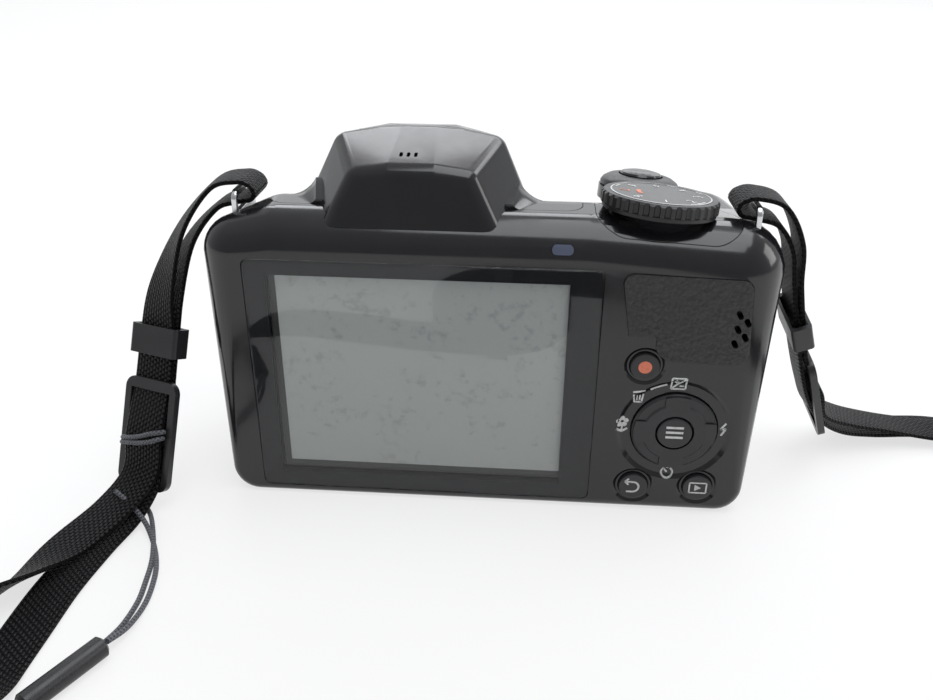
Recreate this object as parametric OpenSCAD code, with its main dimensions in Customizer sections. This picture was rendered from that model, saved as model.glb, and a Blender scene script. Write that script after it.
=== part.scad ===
// Bridge camera with a fixed superzoom lens, standing on its base, seen from the back in azimuth 0.
// X runs to the right of the back, Y forward along the lens and Z up.
// The origin is the mouth of the tripod socket, under the optical axis.

/* [Body] */
// Optical axis to the left side
body_left = 44.3; // [43.5:0.2:46.5]
// Optical axis to the right side
body_right = 76.8; // [76:0.2:79]
// Height of the flat shoulder above the base
shoulder_z = 66.8; // [66:0.2:69]
// Tripod socket to the back face
back_depth = 20; // [19.5:0.1:21]
// Tripod socket to the front face
front_depth = 16; // [15.5:0.1:17]
// Wall of the moulded covers
wall = 1.8; // [1.6:0.05:1.9]
// Wall of the rear cover behind its controls
rear_wall = 2.4; // [2.2:0.05:2.6]
// Rounding of the rear top edge
rear_r = 9; // [8:0.25:9.5]
// Gap at the seams between fixed pieces
seam_gap = 0.15; // [0.1:0.01:0.2]
// Clearance round the pieces that move
move_gap = 0.35; // [0.3:0.01:0.4]

/* [Hump] */
// Rise of the hump over the shoulder
hump_rise = 13.8; // [13:0.2:14.6]
// Half width of the hump at its foot
hump_half = 24.2; // [23.4:0.2:25]
// Rear foot of the hump, measured from the back face
hump_rear = 2; // [1.6:0.1:2.6]
// Half width of the pop-up flash
flash_half = 12.7; // [11.5:0.1:13.2]
// Opening angle of the flash
flash_open = 42; // [35:1:45]

/* [Lens] */
// Height of the optical axis
lens_z = 34; // [33.8:0.05:34.4]
// Outer radius of the fixed lens ring
lens_r = 28.5; // [28:0.1:28.8]
// Wall of the fixed lens ring
ring_wall = 2.9; // [2.7:0.05:3.1]
// Reach of the retracted lens from the front face
lens_reach = 23.8; // [23:0.2:25]
// Reach of the grip from the front face
grip_reach = 21.3; // [20.7:0.1:21.7]
// Travel of the first barrel
travel1 = 26; // [20:1:28]
// Travel of the second barrel in the first
travel2 = 24; // [18:1:26]

/* [Display] */
// Width of the window
window_w = 74; // [72:0.2:75]
// Height of the window
window_h = 55.3; // [54:0.1:55.6]
// Middle of the window across
window_x = 2.4; // [1.8:0.1:3]
// Middle of the window above the base
window_z = 30.05; // [29.8:0.05:30.4]

/* [Controls] */
// Middle of the selector across
pad_x = 56.9; // [56.5:0.1:57.3]
// Middle of the selector above the base
pad_z = 21.2; // [21:0.1:21.6]
// Radius of the selector ring
pad_r = 9.1; // [8.8:0.05:9.3]
// Radius of the middle button
ok_r = 3.8; // [3.5:0.05:3.9]
// Travel of the buttons
press = 0.45; // [0.3:0.05:0.5]
// Radius of the two lower buttons
low_r = 3.25; // [3:0.05:3.4]
// Radius of the movie button
movie_r = 3.1; // [2.8:0.05:3.3]

/* [Dial] */
// Radius of the mode dial
dial_r = 12; // [11.5:0.05:12.2]
// Height of the dial's knurled rim
dial_h = 3.4; // [3:0.1:3.6]
// Grip notches round the dial
dial_notches = 36; // [24:1:40]
// Radius of the zoom lever
zoom_r = 9.4; // [9:0.05:9.6]

/* [Strap] */
// Width of the webbing
strap_w = 10; // [9.6:0.1:10.2]
// Thickness of the webbing
strap_t = 1; // [0.8:0.05:1.1]
// Diameter of the cap cord
cord_d = 1.1; // [0.9:0.05:1.2]

/* [Hidden] */
$fn = 64;
hull_fn = 32;
hole_fn = 40;
flat_trim = 0.02;
back_y = -back_depth;
front_y = front_depth;
seam_y = back_y + 15;
lens_front_y = front_y + lens_reach;
barrel1_r = lens_r - ring_wall - 0.7;
barrel2_r = barrel1_r - 3.2;
glass_r = barrel2_r - 5.4;
hump_top_z = shoulder_z + hump_rise;
corner_r = 6;
crest_y = back_y + 14.5;
crest_fall = 11;
foot_left = 42.2;
foot_right = 73.8;
left_r = 7.5;
right_r = 10.5;
right_top_z = 65.6;
chamfer_z = 57.2;
grip_x1 = 51;
grip_r1 = 9.6;
grip_x2 = 65;
grip_r2 = 10.5;
grip_front = front_y + grip_reach;
grip_top_z = 62;
dial_at = [50.5, back_y + 12.5, 70.1];
deck_turn = [-5.3, 4.4, 0];
shutter_at = [50, back_y + 46, 61.6];
hinge_y = back_y + 26;
hinge_r = 5;
hinge_z = hump_top_z - hinge_r + 0.1;
door_y = back_y + 25;
door_z = 2.4;
knuckle_x0 = 45.1;
knuckle_x1 = 66.4;
side_lean = atan((body_right - foot_right) / (right_top_z - right_r - corner_r));
term_at = [foot_right + 16 * tan(side_lean) - 1.53, back_y + 21.6, 22];
cell_r = 7.25;
cell_at = [[grip_x1, grip_front - grip_r1], [65.4, grip_front - 12.7], [58, back_y + 31.9]];
lug_y = seam_y;
lug_l = [-37.5, lug_y, 62.6];
lug_r = [70, lug_y, 62.2];

// Steps of a rounding: fine outside, coarse on the inner faces
function steps(i) = i > 0.9 ? 16 : hull_fn;
module ball(p, r, i)
    translate(p) sphere((r - i) / cos(180 / steps(i)), $fn = steps(i));
module wheel_y(p, r, f, i)
    translate(p) rotate([90, 0, 0]) rotate_extrude($fn = steps(i))
        translate([r - f, 0]) circle(max(0.1, f - i), $fn = steps(i) / 2);
module wheel_z(p, r, f, i)
    translate(p) rotate_extrude($fn = steps(i))
        translate([r - f, 0]) circle(max(0.1, f - i), $fn = steps(i) / 2);

// Outside of the body, or the same shape drawn in by i
module body_rear(i) hull() {
    ball([-28.5, back_y + rear_r, shoulder_z - rear_r], rear_r, i);
    ball([36, back_y + rear_r, shoulder_z - rear_r], rear_r, i);
    ball([-28.5, crest_y, shoulder_z - 9], 9, i);
    ball([36, crest_y, shoulder_z - 9], 9, i);
    ball([-body_left + left_r, back_y + left_r, chamfer_z], left_r, i);
    ball([body_right - right_r, back_y + right_r, right_top_z - right_r], right_r, i);
    wheel_y([-foot_left + corner_r, back_y + 2, corner_r], corner_r, 2, i);
    wheel_y([foot_right - corner_r, back_y + 2.6, corner_r], corner_r, 2.6, i);
}
module body_front(i) hull() {
    ball([-29.5, front_y - 5, shoulder_z - crest_fall], 5, i);
    ball([36, front_y - 5, shoulder_z - crest_fall], 5, i);
    ball([-body_left + 5, front_y - 5, chamfer_z - 5], 5, i);
    ball([body_right - 8, front_y - 8, 54], 8, i);
    wheel_y([-foot_left + corner_r, front_y - 2.5, corner_r], corner_r, 2.5, i);
    wheel_y([foot_right - corner_r, front_y - 2.6, corner_r], corner_r, 2.6, i);
}
module body_env(i = 0) hull() {
    body_rear(i);
    body_front(i);
}
module grip_column(x, y, r, top, i) hull() {
    ball([x, y, top - r], r, i);
    wheel_z([x, y, 2], r, 2, i);
}
module grip_env(i = 0) hull() {
    grip_column(grip_x1, grip_front - grip_r1, grip_r1, grip_top_z, i);
    grip_column(grip_x2, grip_front - 1.5 - grip_r2, grip_r2, grip_top_z - 1.5, i);
    ball([45.5, front_y - 5, 59.6], 5, i);
    ball([64, front_y - 6, 56.8], 5, i);
    for (x = [45, 71.5])
        ball([x, front_y - 7.2, 3], 3, i);
    ball([71.5, front_y - 7.2, 56.8], 3, i);
}
module hump_rear_wall(i) hull() for (s = [-1, 1]) {
    ball([s * 16.8, back_y + hump_rear + 3, 61.5], 3, i);
    ball([s * 10.8, back_y + 8.6, hump_top_z - 8.4], 3.6, i);
    ball([s * 4.5, back_y + 8.4, hump_top_z - 7.5], 3.6, i);
}
module hump_ridge(i) hull() for (s = [-1, 1]) {
    ball([s * 15.2, back_y + 21.5, hump_top_z - 5.1], 3.6, i);
    ball([s * 9, back_y + 22.4, hump_top_z - 4.6], 4, i);
    ball([s * 3.5, back_y + 22.4, hump_top_z - 4.1], 4, i);
    ball([s * 6.8, back_y + 27.5, hump_top_z - 4.95], 4, i);
    ball([s * (hump_half - 4), back_y + 18, 64], 4, i);
    ball([s * (hump_half - 4), front_y - 5, 58], 4, i);
}
module hump_front_wall(i) hull() for (s = [-1, 1]) {
    ball([s * 10.5, front_y + 3, hump_top_z - 8.6], 4, i);
    ball([s * 16, front_y + 4.5, 61], 3, i);
}
module hump_env(i = 0) hull() {
    hump_rear_wall(i);
    hump_ridge(i);
    hump_front_wall(i);
}
// Height of the body's top at y: level behind, then rolling over to the slope that runs forward
top_tilt = asin(4 / norm([front_y - 5 - crest_y,
    crest_fall - 9])) + atan((crest_fall - 9) / (front_y - 5 - crest_y));
function top_z(y) = y < crest_y ? shoulder_z : y < crest_y + 9 * sin(top_tilt) ?
    shoulder_z - 9 + sqrt(81 - (y - crest_y) * (y - crest_y)) :
    shoulder_z - 9 + 9 * cos(top_tilt) - (y - crest_y - 9 * sin(top_tilt)) * tan(top_tilt);
// Concave flare where the hump's flanks run out on the shoulders, in stations from the rear
flare_at = [for (y = [back_y + 9, back_y + 11.5, back_y + 14, back_y + 16.5, back_y + 19, back_y + 23,
    front_y - 4.7])
    [y, top_z(y), min(hump_half - 0.9, 19.2 + (y + 15) * 0.36), min(4.6, 0.9 + (y - back_y - 9) * 0.45)]];
function flare_ring(q) = [for (v = concat([[-5, q[3] * (1 - cos(84))]],
        [for (a = [84:-12:0]) [q[3] * (1 - sin(a)), q[3] * (1 - cos(a))]], [[q[3] - 0.2, -1.2], [-5,
            -1.2]]))
    [q[2] + v[0] - max(0, v[1]) * 0.42, q[0], q[1] + v[1]]];
module hump_flare()
    for (s = [0, 1])
        mirror([s, 0, 0]) skin([for (q = flare_at) flare_ring(q)]);
// Ridge that carries the dial deck on from the dial to the grip
module deck_env(i = 0) hull() {
    ball([45.5, back_y + 11, 57], 9, i);
    ball([45.5, front_y - 5, 59.6], 5, i);
    ball([64, back_y + 12, 54.8], 9, i);
    ball([64, front_y - 6, 56.8], 5, i);
}
module outside(i = 0) {
    body_env(i);
    deck_env(i);
    grip_env(i);
}
module half_space(y0, y1)
    translate([-150, y0, -50]) cube([300, y1 - y0, 250]);
// The body with its back cut to one true plane
module trimmed_body(i) intersection() {
    body_env(i);
    half_space(back_y + i + flat_trim, 60);
}
module along_y(y0, y1)
    translate([0, y1, 0]) rotate([90, 0, 0]) linear_extrude(y1 - y0) children();
module along_x(x0, x1)
    translate([x0, 0, 0]) rotate([90, 0, 90]) linear_extrude(x1 - x0) children();
module rrect(w, h, r) {
    square([w - 2 * r, h], center = true);
    square([w, h - 2 * r], center = true);
    for (x = [-1, 1], z = [-1, 1])
        translate([x * (w / 2 - r), z * (h / 2 - r)]) circle(r);
}
module turned_y(x, y, z)
    translate([x, y, z]) rotate([-90, 0, 0]) rotate_extrude() children();
module rod_y(x, z, r, y0, y1)
    translate([x, y0, z]) rotate([-90, 0, 0]) cylinder(r = r, h = y1 - y0);
module rod_x(x0, x1, y, z, r)
    translate([x0, y, z]) rotate([0, 90, 0]) cylinder(r = r, h = x1 - x0);
module at_dial()
    translate(dial_at) rotate(deck_turn) children();
module at_shutter()
    translate(shutter_at) rotate(deck_turn) children();

// Plan of the top plate and of the dial deck, drawn in by g at the seam
module plate_plan(g) {
    translate([2, (back_y + 9.5 + front_y - 4.6) / 2])
        rrect(66 - 2 * g, front_y - back_y - 14.1 - 2 * g, 4);
}
module deck_plan(g) {
    hull() {
        translate([43.6, back_y + 8.9]) circle(6.3 - g);
        translate([60.4, back_y + 9.5]) circle(6.8 - g);
        translate([43.4, back_y + 18]) circle(6 - g);
        translate([61, back_y + 17]) circle(6 - g);
    }
    translate([shutter_at[0], shutter_at[1]]) circle(10.6 - g);
    polygon([[37.4 + g, back_y + 18], [67 - g, back_y + 17], [60.2 - g, shutter_at[1] + 2],
        [39.8 + g, shutter_at[1] + 2]]);
}
module deck_block(g)
    translate([0, 0, 57.3 + g]) linear_extrude(30) deck_plan(g);
module plate_block(g)
    translate([0, 0, 52 + g]) linear_extrude(48) plate_plan(g);

// Outline of the thumb rubber on the back, drawn in by g
module thumb_plan(g) {
    difference() {
        hull() {
            translate([45.5, 55.2]) circle(2.3 - g);
            translate([66.5, 54.2]) circle(2.6 - g);
            translate([66.8, 41.2]) circle(3.4 - g);
            translate([47, 39.2 + g]) circle(1);
        }
        difference() {
            translate([40, 30]) square([15.2 + g, 13.6 + g]);
            translate([55.2, 42.6]) circle(4.6 - g);
        }
        translate([40, 30]) square([11, 13.5 + g]);
    }
}
module slot_holes() {
    for (p = [[66.9, 49.3], [68.7, 47.6], [66.9, 46.1], [68.6, 44.3], [66.7, 42.8]])
        along_y(back_y - 2, back_y + 6) hull() {
            translate([p[0] - 0.25, p[1] + 0.45]) circle(0.55, $fn = 16);
            translate([p[0] + 0.25, p[1] - 0.45]) circle(0.55, $fn = 16);
        }
}
module lamp_plan(g) {
    translate([30.8, 61.6]) rrect(4.4 - 2 * g, 2 - 2 * g, 0.95 - g);
}
module lug_slot(p)
    translate([p[0] - 0.6 - seam_gap, p[1] - 6.5 - seam_gap, 50])
        cube([1.2 + 2 * seam_gap, 13 + 2 * seam_gap, 30]);
module term_block(g)
    translate([foot_right - 8, back_y + 11 + g, 14 + g]) cube([20, 11 - 2 * g, 16 - 2 * g]);
module term_swing()
    translate(term_at) rotate([0, side_lean, 0]) cylinder(r = 2, h = 16.4, center = true);
module door_plan(g) {
    hull() {
        translate([grip_x1, grip_front - grip_r1]) circle(8.3 - g);
        translate([grip_x2, grip_front - 1.5 - grip_r2]) circle(9.2 - g);
        translate([knuckle_x0 + g, back_y + 23.5 + g]) square([knuckle_x1 - knuckle_x0 - 2 * g, 1]);
    }
}

module rear_cover() color("#1b1c1f") union() {
    $fn = hole_fn;
    difference() {
        intersection() {
            trimmed_body(0);
            half_space(back_y - 5, seam_y - seam_gap / 2);
        }
        intersection() {
            body_env(wall);
            half_space(back_y + rear_wall, seam_y + 5);
        }
        plate_block(0);
        deck_block(0);
        along_y(back_y - 2, back_y + 1.25)
            translate([window_x, window_z]) rrect(window_w + 2 * seam_gap, window_h + 2 * seam_gap, 1.6);
        along_y(back_y - 2, back_y + 5) translate([2.3, 31.45]) rrect(66, 50.4, 1);
        difference() {
            along_y(back_y - 2, back_y + 12) thumb_plan(0);
            trimmed_body(1);
        }
        slot_holes();
        along_y(back_y - 2, back_y + 8) lamp_plan(-0.05);
        rod_y(pad_x, pad_z, pad_r + 0.35, back_y - 1, back_y + 8);
        translate([pad_x, back_y, pad_z]) rotate([-90, 0, 0])
            cylinder(r1 = 12.4, r2 = 11.4, h = 0.6);
        rod_y(49.2, 36.75, movie_r + 0.2, back_y - 1, back_y + 8);
        translate([49.2, back_y, 36.75]) rotate([-90, 0, 0]) cylinder(r1 = 4.4, r2 = 3.7, h = 0.5);
        for (p = [[49.4, 6.6], [63.5, 7]]) {
            rod_y(p[0], p[1], low_r + 0.2, back_y - 1, back_y + 8);
            translate([p[0], back_y, p[1]]) rotate([-90, 0, 0]) cylinder(r1 = 4.6, r2 = 3.9, h = 0.45);
        }
        lug_slot(lug_l);
        lug_slot(lug_r);
        cylinder(r = 6.5 + seam_gap, h = 20, center = true);
        term_block(0);
        term_swing();
        for (x = [-33, 33])
            translate([x, back_y + 9.8, -1]) {
                cylinder(r = 1.8, h = 2.3);
                cylinder(r = 0.95, h = 8);
            }
    }
    for (p = [[44.8, 14], [68.6, 13], [46, 30], [66.5, 31]])
        rod_y(p[0], p[1], 1.3, back_y + rear_wall - 0.3, back_y + 4.5);
    for (x = [-33, 33])
        difference() {
            translate([x, back_y + 9.8, wall - 0.3]) cylinder(r = 2.4, h = 5.3);
            translate([x, back_y + 9.8, 0]) cylinder(r = 0.95, h = 20);
        }
}
module front_cover() color("#1b1c1f") union() {
    $fn = hole_fn;
    difference() {
        intersection() {
            outside(0);
            half_space(seam_y + seam_gap / 2, 90);
        }
        intersection() {
            outside(wall);
            half_space(seam_y - 5, 90);
        }
        plate_block(0);
        deck_block(0);
        difference() {
            grip_block(0);
            grip_env(0.5);
        }
        rod_y(0, lens_z, lens_r + seam_gap, front_y - 8, front_y + 5);
        rod_y(37, 49, 2.6, front_y - 8, front_y + 2);
        lug_slot(lug_l);
        lug_slot(lug_r);
        cylinder(r = 6.5 + seam_gap, h = 20, center = true);
        term_block(0);
        term_swing();
        translate([0, 0, -1]) linear_extrude(5) door_plan(0);
        rod_x(knuckle_x0 - 0.5, knuckle_x1 + 1.35, door_y, door_z, 3.6);
        translate([knuckle_x0 - 2.5, door_y - 0.9, door_z - 0.9]) cube([knuckle_x1 - knuckle_x0 + 5.9,
            1.8, 4]);
        for (x = [-33, 33])
            translate([x, back_y + 27, -1]) {
                cylinder(r = 1.8, h = 2.3);
                cylinder(r = 0.95, h = 8);
            }
    }
    for (x = [-33, 33])
        difference() {
            translate([x, back_y + 27, wall - 0.3]) cylinder(r = 2.4, h = 5.3);
            translate([x, back_y + 27, 0]) cylinder(r = 0.95, h = 20);
        }
    for (x = [knuckle_x0 - 2.5, knuckle_x1 + 1.4])
        difference() {
            translate([x, door_y - 1.7, wall - 0.5]) cube([1.9, 3.4, 2.9]);
            translate([x - 1, door_y - 0.9, door_z - 0.9]) cube([4, 1.8, 4]);
        }
}
// Front and side of the grip that the skin covers
module grip_block(g)
    translate([40 + g, front_y + 6 + g, 7 + g]) cube([40, 40, 47 - 2 * g]);
module top_cover() color("#1d1f23") difference() {
    $fn = hole_fn;
    union() {
        difference() {
            union() {
                difference() {
                    hump_env(0);
                    body_env(-0.08);
                }
                intersection() {
                    plate_block(seam_gap);
                    difference() {
                        union() {
                            body_env(0);
                            hump_env(0);
                            hump_flare();
                        }
                        body_env(wall);
                    }
                }
            }
            hump_env(wall);
            rod_y(0, lens_z, lens_r + 0.4, back_y, 80);
            flash_block(-move_gap);
            for (x = [-1.5, 0, 1.5])
                translate([x - 0.9, back_y + 10.4, hump_top_z - 10.6]) hull() {
                    translate([0, -0.5, 0]) cylinder(r = 0.35, h = 12, $fn = 12);
                    translate([0, 0.5, 0]) cylinder(r = 0.35, h = 12, $fn = 12);
                }
        }
        for (s = [-1, 1])
            intersection() {
                translate([s * (flash_half + 1.9) - 1.5, hinge_y - 3, hinge_z - 5]) cube([3, 6, 9]);
                hump_env(0.6);
            }
    }
    rod_x(-flash_half - 2.6, flash_half + 2.6, hinge_y, hinge_z, 1.04);
}
module dial_deck() color("#1c1d20") union() {
    $fn = hole_fn;
    difference() {
        union() {
            intersection() {
                deck_block(seam_gap);
                outside(0);
            }
            at_dial() translate([0, 0, -dial_h - 3]) cylinder(r1 = 7.4, r2 = 9.9, h = 3 - move_gap);
            at_shutter() translate([0, 0, -3]) cylinder(r = zoom_r + 0.3, h = 3);
        }
        difference() {
            outside(1.9);
            at_dial() translate([0, 0, -dial_h - 6]) cylinder(r = 5, h = 7);
            at_shutter() translate([0, 0, -3.4]) cylinder(r = 5, h = 4.4);
        }
        at_dial() translate([0, 0, -20]) cylinder(r = 3 + move_gap, h = 30);
        at_shutter() translate([0, 0, -20]) cylinder(r = 2.2 + move_gap, h = 30);
        at_shutter() translate([0, 0, -1.6]) cylinder(r = 5.2 + move_gap, h = 10);
        at_shutter() cylinder(r = zoom_r + move_gap, h = 12);
        for (a = [-18, 0, 18])
            at_shutter() rotate([0, 0, a]) translate([0, zoom_r - 1, 0]) cylinder(r = 3 + move_gap, h = 12);
        translate([58.6, back_y + 33.6, 50]) cylinder(r = 2.6 + move_gap, h = 30);
    }
}
module thumb_pad() color("#2a2b2d") union() {
    difference() {
        intersection() {
            along_y(back_y - 2, back_y + 11) thumb_plan(seam_gap);
            trimmed_body(-0.35);
        }
        trimmed_body(0.95);
        slot_holes();
    }
}
module grip_skin() color("#2a2b2d") union() {
    difference() {
        intersection() {
            grip_block(seam_gap);
            grip_env(-0.15);
        }
        grip_env(0.45);
        body_env(-0.1);
    }
}
module display_window() color("#0c0d0f")
    along_y(back_y - 0.2, back_y + 1.2)
        translate([window_x, window_z]) rrect(window_w, window_h, 1.5);
module display_panel() color("#717674")
    along_y(back_y + 1.45, back_y + 3.6) translate([2.3, 31.45]) rrect(64.6, 49, 0.8);
module chassis_plate() color("#8d9196") {
    along_y(back_y + 3.8, back_y + 5) difference() {
        translate([1.5, 31]) rrect(79, 53, 3);
        translate([2, 31]) rrect(40, 30, 2);
    }
    for (x = [-36.2, 41], z = [11, 50])
        rod_y(x, z, 1.5, back_y + rear_wall + 0.05, back_y + 3.9);
}
module indicator_lamp() color("#9fb0bf") union() {
    intersection() {
        along_y(back_y - 1, back_y + 5.5) lamp_plan(0.05);
        body_env(-0.1);
    }
}
module small_button(x, z, r, proud) {
    turned_y(x, back_y, z)
        polygon([[0, -proud], [r - 0.45, -proud], [r - 0.13, -proud + 0.13], [r, -proud + 0.45],
            [r, rear_wall + 0.2], [r + 0.7, rear_wall + 0.2], [r + 0.7, rear_wall + 0.9],
            [1, rear_wall + 0.9], [1, rear_wall + 1.3], [0, rear_wall + 1.3]]);
}
module movie_button() color("#1f2022")
    small_button(49.2, 36.75, movie_r, 0.45);
module ok_button() color("#232427")
    turned_y(pad_x, back_y, pad_z)
        polygon([[0, -1], [ok_r - 0.5, -1], [ok_r - 0.15, -0.86], [ok_r, -0.5],
            [ok_r, 1.6], [ok_r + 0.6, 1.6], [ok_r + 0.6, 2.3], [0, 2.3]]);
module back_button() color("#232427")
    small_button(49.4, 6.6, low_r, 0.5);
module play_button() color("#232427")
    small_button(63.5, 7, low_r, 0.5);
// Four-way ring with a raised tab on each side
module selector_ring() color("#232427") difference() {
    union() {
        turned_y(pad_x, back_y, pad_z)
            polygon([[ok_r + 0.35, -0.75], [6.6, -0.75], [7, -0.35], [8.6, -0.35], [pad_r, 0.1],
                [pad_r, 1.1], [ok_r + 0.35, 1.1]]);
        for (a = [0, 90, 180, 270])
            translate([pad_x, back_y, pad_z]) rotate([0, a, 0]) intersection() {
                translate([-2.6, -0.75, 5.5]) cube([5.2, 1.5, 6]);
                rotate([-90, 0, 0]) translate([0, 0, -1]) cylinder(r1 = pad_r - 0.35, r2 = pad_r, h = 2);
            }
    }
    rod_y(pad_x, pad_z, ok_r + 0.34, back_y - 3, back_y + 3);
}
module selector_pivot() color("#8d9196")
    turned_y(pad_x, back_y, pad_z)
        polygon([[5.2, 1.5], [8.4, 1.5], [8.4, 2.3], [5.2, 2.3]]);
module button_board() color("#1d5a3a") {
    along_y(back_y + 4.7, back_y + 5.9) difference() {
        translate([56.6, 22.2]) rrect(26.4, 36.2, 1.5);
        translate([pad_x, pad_z]) circle(1.2);
    }
    for (p = [[49.2, 36.75], [49.4, 6.6], [63.5, 7], [pad_x, pad_z]])
        rod_y(p[0], p[1], 2.2, back_y + 4.4, back_y + 4.8);
    for (a = [45, 135, 225, 315])
        rod_y(pad_x + 6.8 * cos(a), pad_z + 6.8 * sin(a), 1, back_y + 2.8, back_y + 4.8);
}
module mode_dial() color("#16171a") at_dial() difference() {
    union() {
        rotate_extrude() polygon([[0, -dial_h], [dial_r - 0.5, -dial_h], [dial_r - 0.35, -dial_h + 0.15],
            [dial_r - 0.35, -dial_h + 0.8], [dial_r, -dial_h + 0.95], [dial_r, -0.45],
            [dial_r - 0.45, 0], [10.35, 0], [10.35, -0.7], [0, -0.7]]);
        translate([0, 0, -dial_h - 7]) cylinder(r = 3, h = 8);
        translate([0, 0, -dial_h - 7.6]) cylinder(r = 4.4, h = 0.9);
    }
    for (k = [0:dial_notches - 1])
        rotate([0, 0, k * 360 / dial_notches])
            translate([dial_r + 0.28, 0, -dial_h + 0.96]) cylinder(r = 0.7, h = 5, $fn = 24);
}
module dial_cap() color("#101113") at_dial()
    rotate_extrude() polygon([[0, -0.68], [10.3, -0.68], [10.3, -0.12], [10.1, 0.05], [0, 0.12]]);
module zoom_lever() color("#18191b") at_shutter() difference() {
    union() {
        rotate_extrude() polygon([[5.3, move_gap], [zoom_r, move_gap], [zoom_r, 0.9], [zoom_r - 0.5, 1.7],
            [7.6, 2.5], [6, 2.9], [5.3, 2.9]]);
        translate([0, zoom_r - 1, move_gap]) cylinder(r = 3, h = 1.5);
    }
    translate([0, 0, -1]) cylinder(r = 5.3, h = 9);
}
module shutter_button() color("#1b1c1e") at_shutter() {
    rotate_extrude() polygon([[0, 0.2], [4.9, 0.2], [4.9, 3.1], [4.6, 3.5], [3, 3.85], [0, 3.9]]);
    translate([0, 0, -3.9]) cylinder(r = 2.2, h = 5);
    translate([0, 0, -4.4]) cylinder(r = 3.2, h = 0.7);
}
module power_button() color("#1b1c1e")
    translate([58.6, back_y + 33.6, 0]) {
        translate([0, 0, 57.6])
            rotate_extrude() polygon([[0, 0], [2.6, 0], [2.6, 5.7], [2.3, 6.1], [0, 6.25]]);
        translate([0, 0, 56.9]) cylinder(r = 3.6, h = 0.8);
    }

// Room of the pop-up flash in the hump, drawn in by g
module flash_block(g) {
    along_x(-flash_half + g, flash_half - g) {
        polygon([[hinge_y, hinge_z - hinge_r + g], [front_y - 1, hinge_z - hinge_r + g],
            [front_y + 5, hinge_z - 1 + g], [front_y + 20, hinge_z - 1 + g], [front_y + 20, 95],
            [hinge_y, 95]]);
        translate([hinge_y, hinge_z]) circle(hinge_r - g);
    }
}
module flash_housing() color("#1d1f23") union() {
    difference() {
        intersection() {
            hump_env(0);
            flash_block(0);
        }
        rod_x(-20, 20, hinge_y, hinge_z, 1.06);
        intersection() {
            hump_env(1.6);
            translate([-10.5, hinge_y + 6, hinge_z - 10]) cube([21, 30, 30]);
            flash_block(1.4);
        }
        at_flash_face() translate([-9.6, -2.4, -2]) cube([19.2, 4.8, 4]);
    }
}
// Middle of the sloping face under the flash head, Y up the slope and Z into the head
module at_flash_face()
    translate([0, front_y + 2, hinge_z - 3]) rotate([atan(4 / 6), 0, 0]) children();
module flash_window() color("#dfe5ea")
    at_flash_face() translate([-9.5, -2.3, 0.05]) cube([19, 4.6, 1.1]);
module flash_pin() color("#b9bdc2")
    rod_x(-flash_half - 2.5, flash_half + 2.5, hinge_y, hinge_z, 1);
module lug(p) {
    difference() {
        translate([p[0] - 0.6, 0, 0]) along_x(0, 1.2) {
            translate([p[1], p[2] + 2.2]) rrect(13, 8.8, 2);
            translate([p[1], p[2] - 3.2]) square([10, 5], center = true);
        }
        translate([p[0] - 2, 0, 0]) along_x(0, 4) translate([p[1], p[2] + 3.7]) rrect(10.6, 3, 1);
    }
}
module left_lug() color("#c9ccd0")
    lug(lug_l);
module right_lug() color("#c9ccd0")
    lug(lug_r);
module lens_ring() color("#17181b") {
    intersection() {
        turned_y(0, front_y, lens_z)
            polygon([[lens_r - 1, -3.6], [lens_r + 1.9, -3.6], [lens_r + 1.9, -wall - 0.1],
                [lens_r - 1, -wall - 0.1]]);
        translate([-40, 0, lens_z - 40]) cube([80, 40, 58]);
    }
    turned_y(0, front_y, lens_z)
        polygon([[barrel1_r + 0.7, -3.6], [lens_r, -3.6], [lens_r, 7], [lens_r - 0.5, 7.4],
            [lens_r - 0.5, 8],
            [lens_r - 0.1, 8.4], [lens_r - 0.7, lens_front_y - front_y - 4.8],
            [lens_r - 1.5, lens_front_y - front_y - 3.8], [barrel1_r + 0.7, lens_front_y - front_y - 3.8]]);
}
module lens_tube() color("#2b2c2f") {
    turned_y(0, back_y, lens_z)
        polygon([[9, 10.8], [barrel1_r + 2, 10.8], [barrel1_r + 2, back_depth + front_depth - 3.8],
            [barrel1_r + 0.7, back_depth + front_depth - 3.8], [barrel1_r + 0.7, 12.2], [9, 12.2]]);
    along_y(back_y + 10.8, back_y + 12.2) difference() {
        hull() {
            translate([-29.5, lens_z + 19]) circle(5);
            translate([-20, lens_z + 11]) circle(4);
        }
        translate([-29.5, lens_z + 19]) circle(1.4);
    }
}
module outer_barrel() color("#141517")
    turned_y(0, lens_front_y, lens_z)
        polygon([[barrel1_r - 1.7, -41.8], [barrel1_r, -41.8], [barrel1_r, -2.6], [barrel1_r - 0.4, -2.2],
            [barrel2_r + 0.5, -2.2], [barrel2_r + 0.5, -3.6], [barrel1_r - 1.7, -3.6]]);
module inner_barrel() color("#141517")
    turned_y(0, lens_front_y, lens_z)
        polygon([[barrel2_r - 1.6, -39.8], [barrel2_r, -39.8], [barrel2_r, -0.4], [barrel2_r - 0.4, 0],
            [barrel2_r - 1.6, 0]]);
module lens_bezel() color("#0e0f10")
    turned_y(0, lens_front_y, lens_z)
        polygon([[barrel2_r - 1.7, -0.4], [glass_r + 1.3, -1.6], [glass_r + 1.3, -2.2], [glass_r + 0.1,
            -2.4], [glass_r + 0.1, -9.6],
            [barrel2_r - 1.7, -9.6]]);
module front_lens() color("#2d3550")
    turned_y(0, lens_front_y, lens_z)
        polygon(concat([for (k = [0:8]) let (r = (glass_r - 0.3) * k / 8) [r,
            -3.2 - (40 - sqrt(1600 - r * r))]],
            [[glass_r, -6.9], [glass_r, -8.2], [0, -9.4]]));
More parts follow.
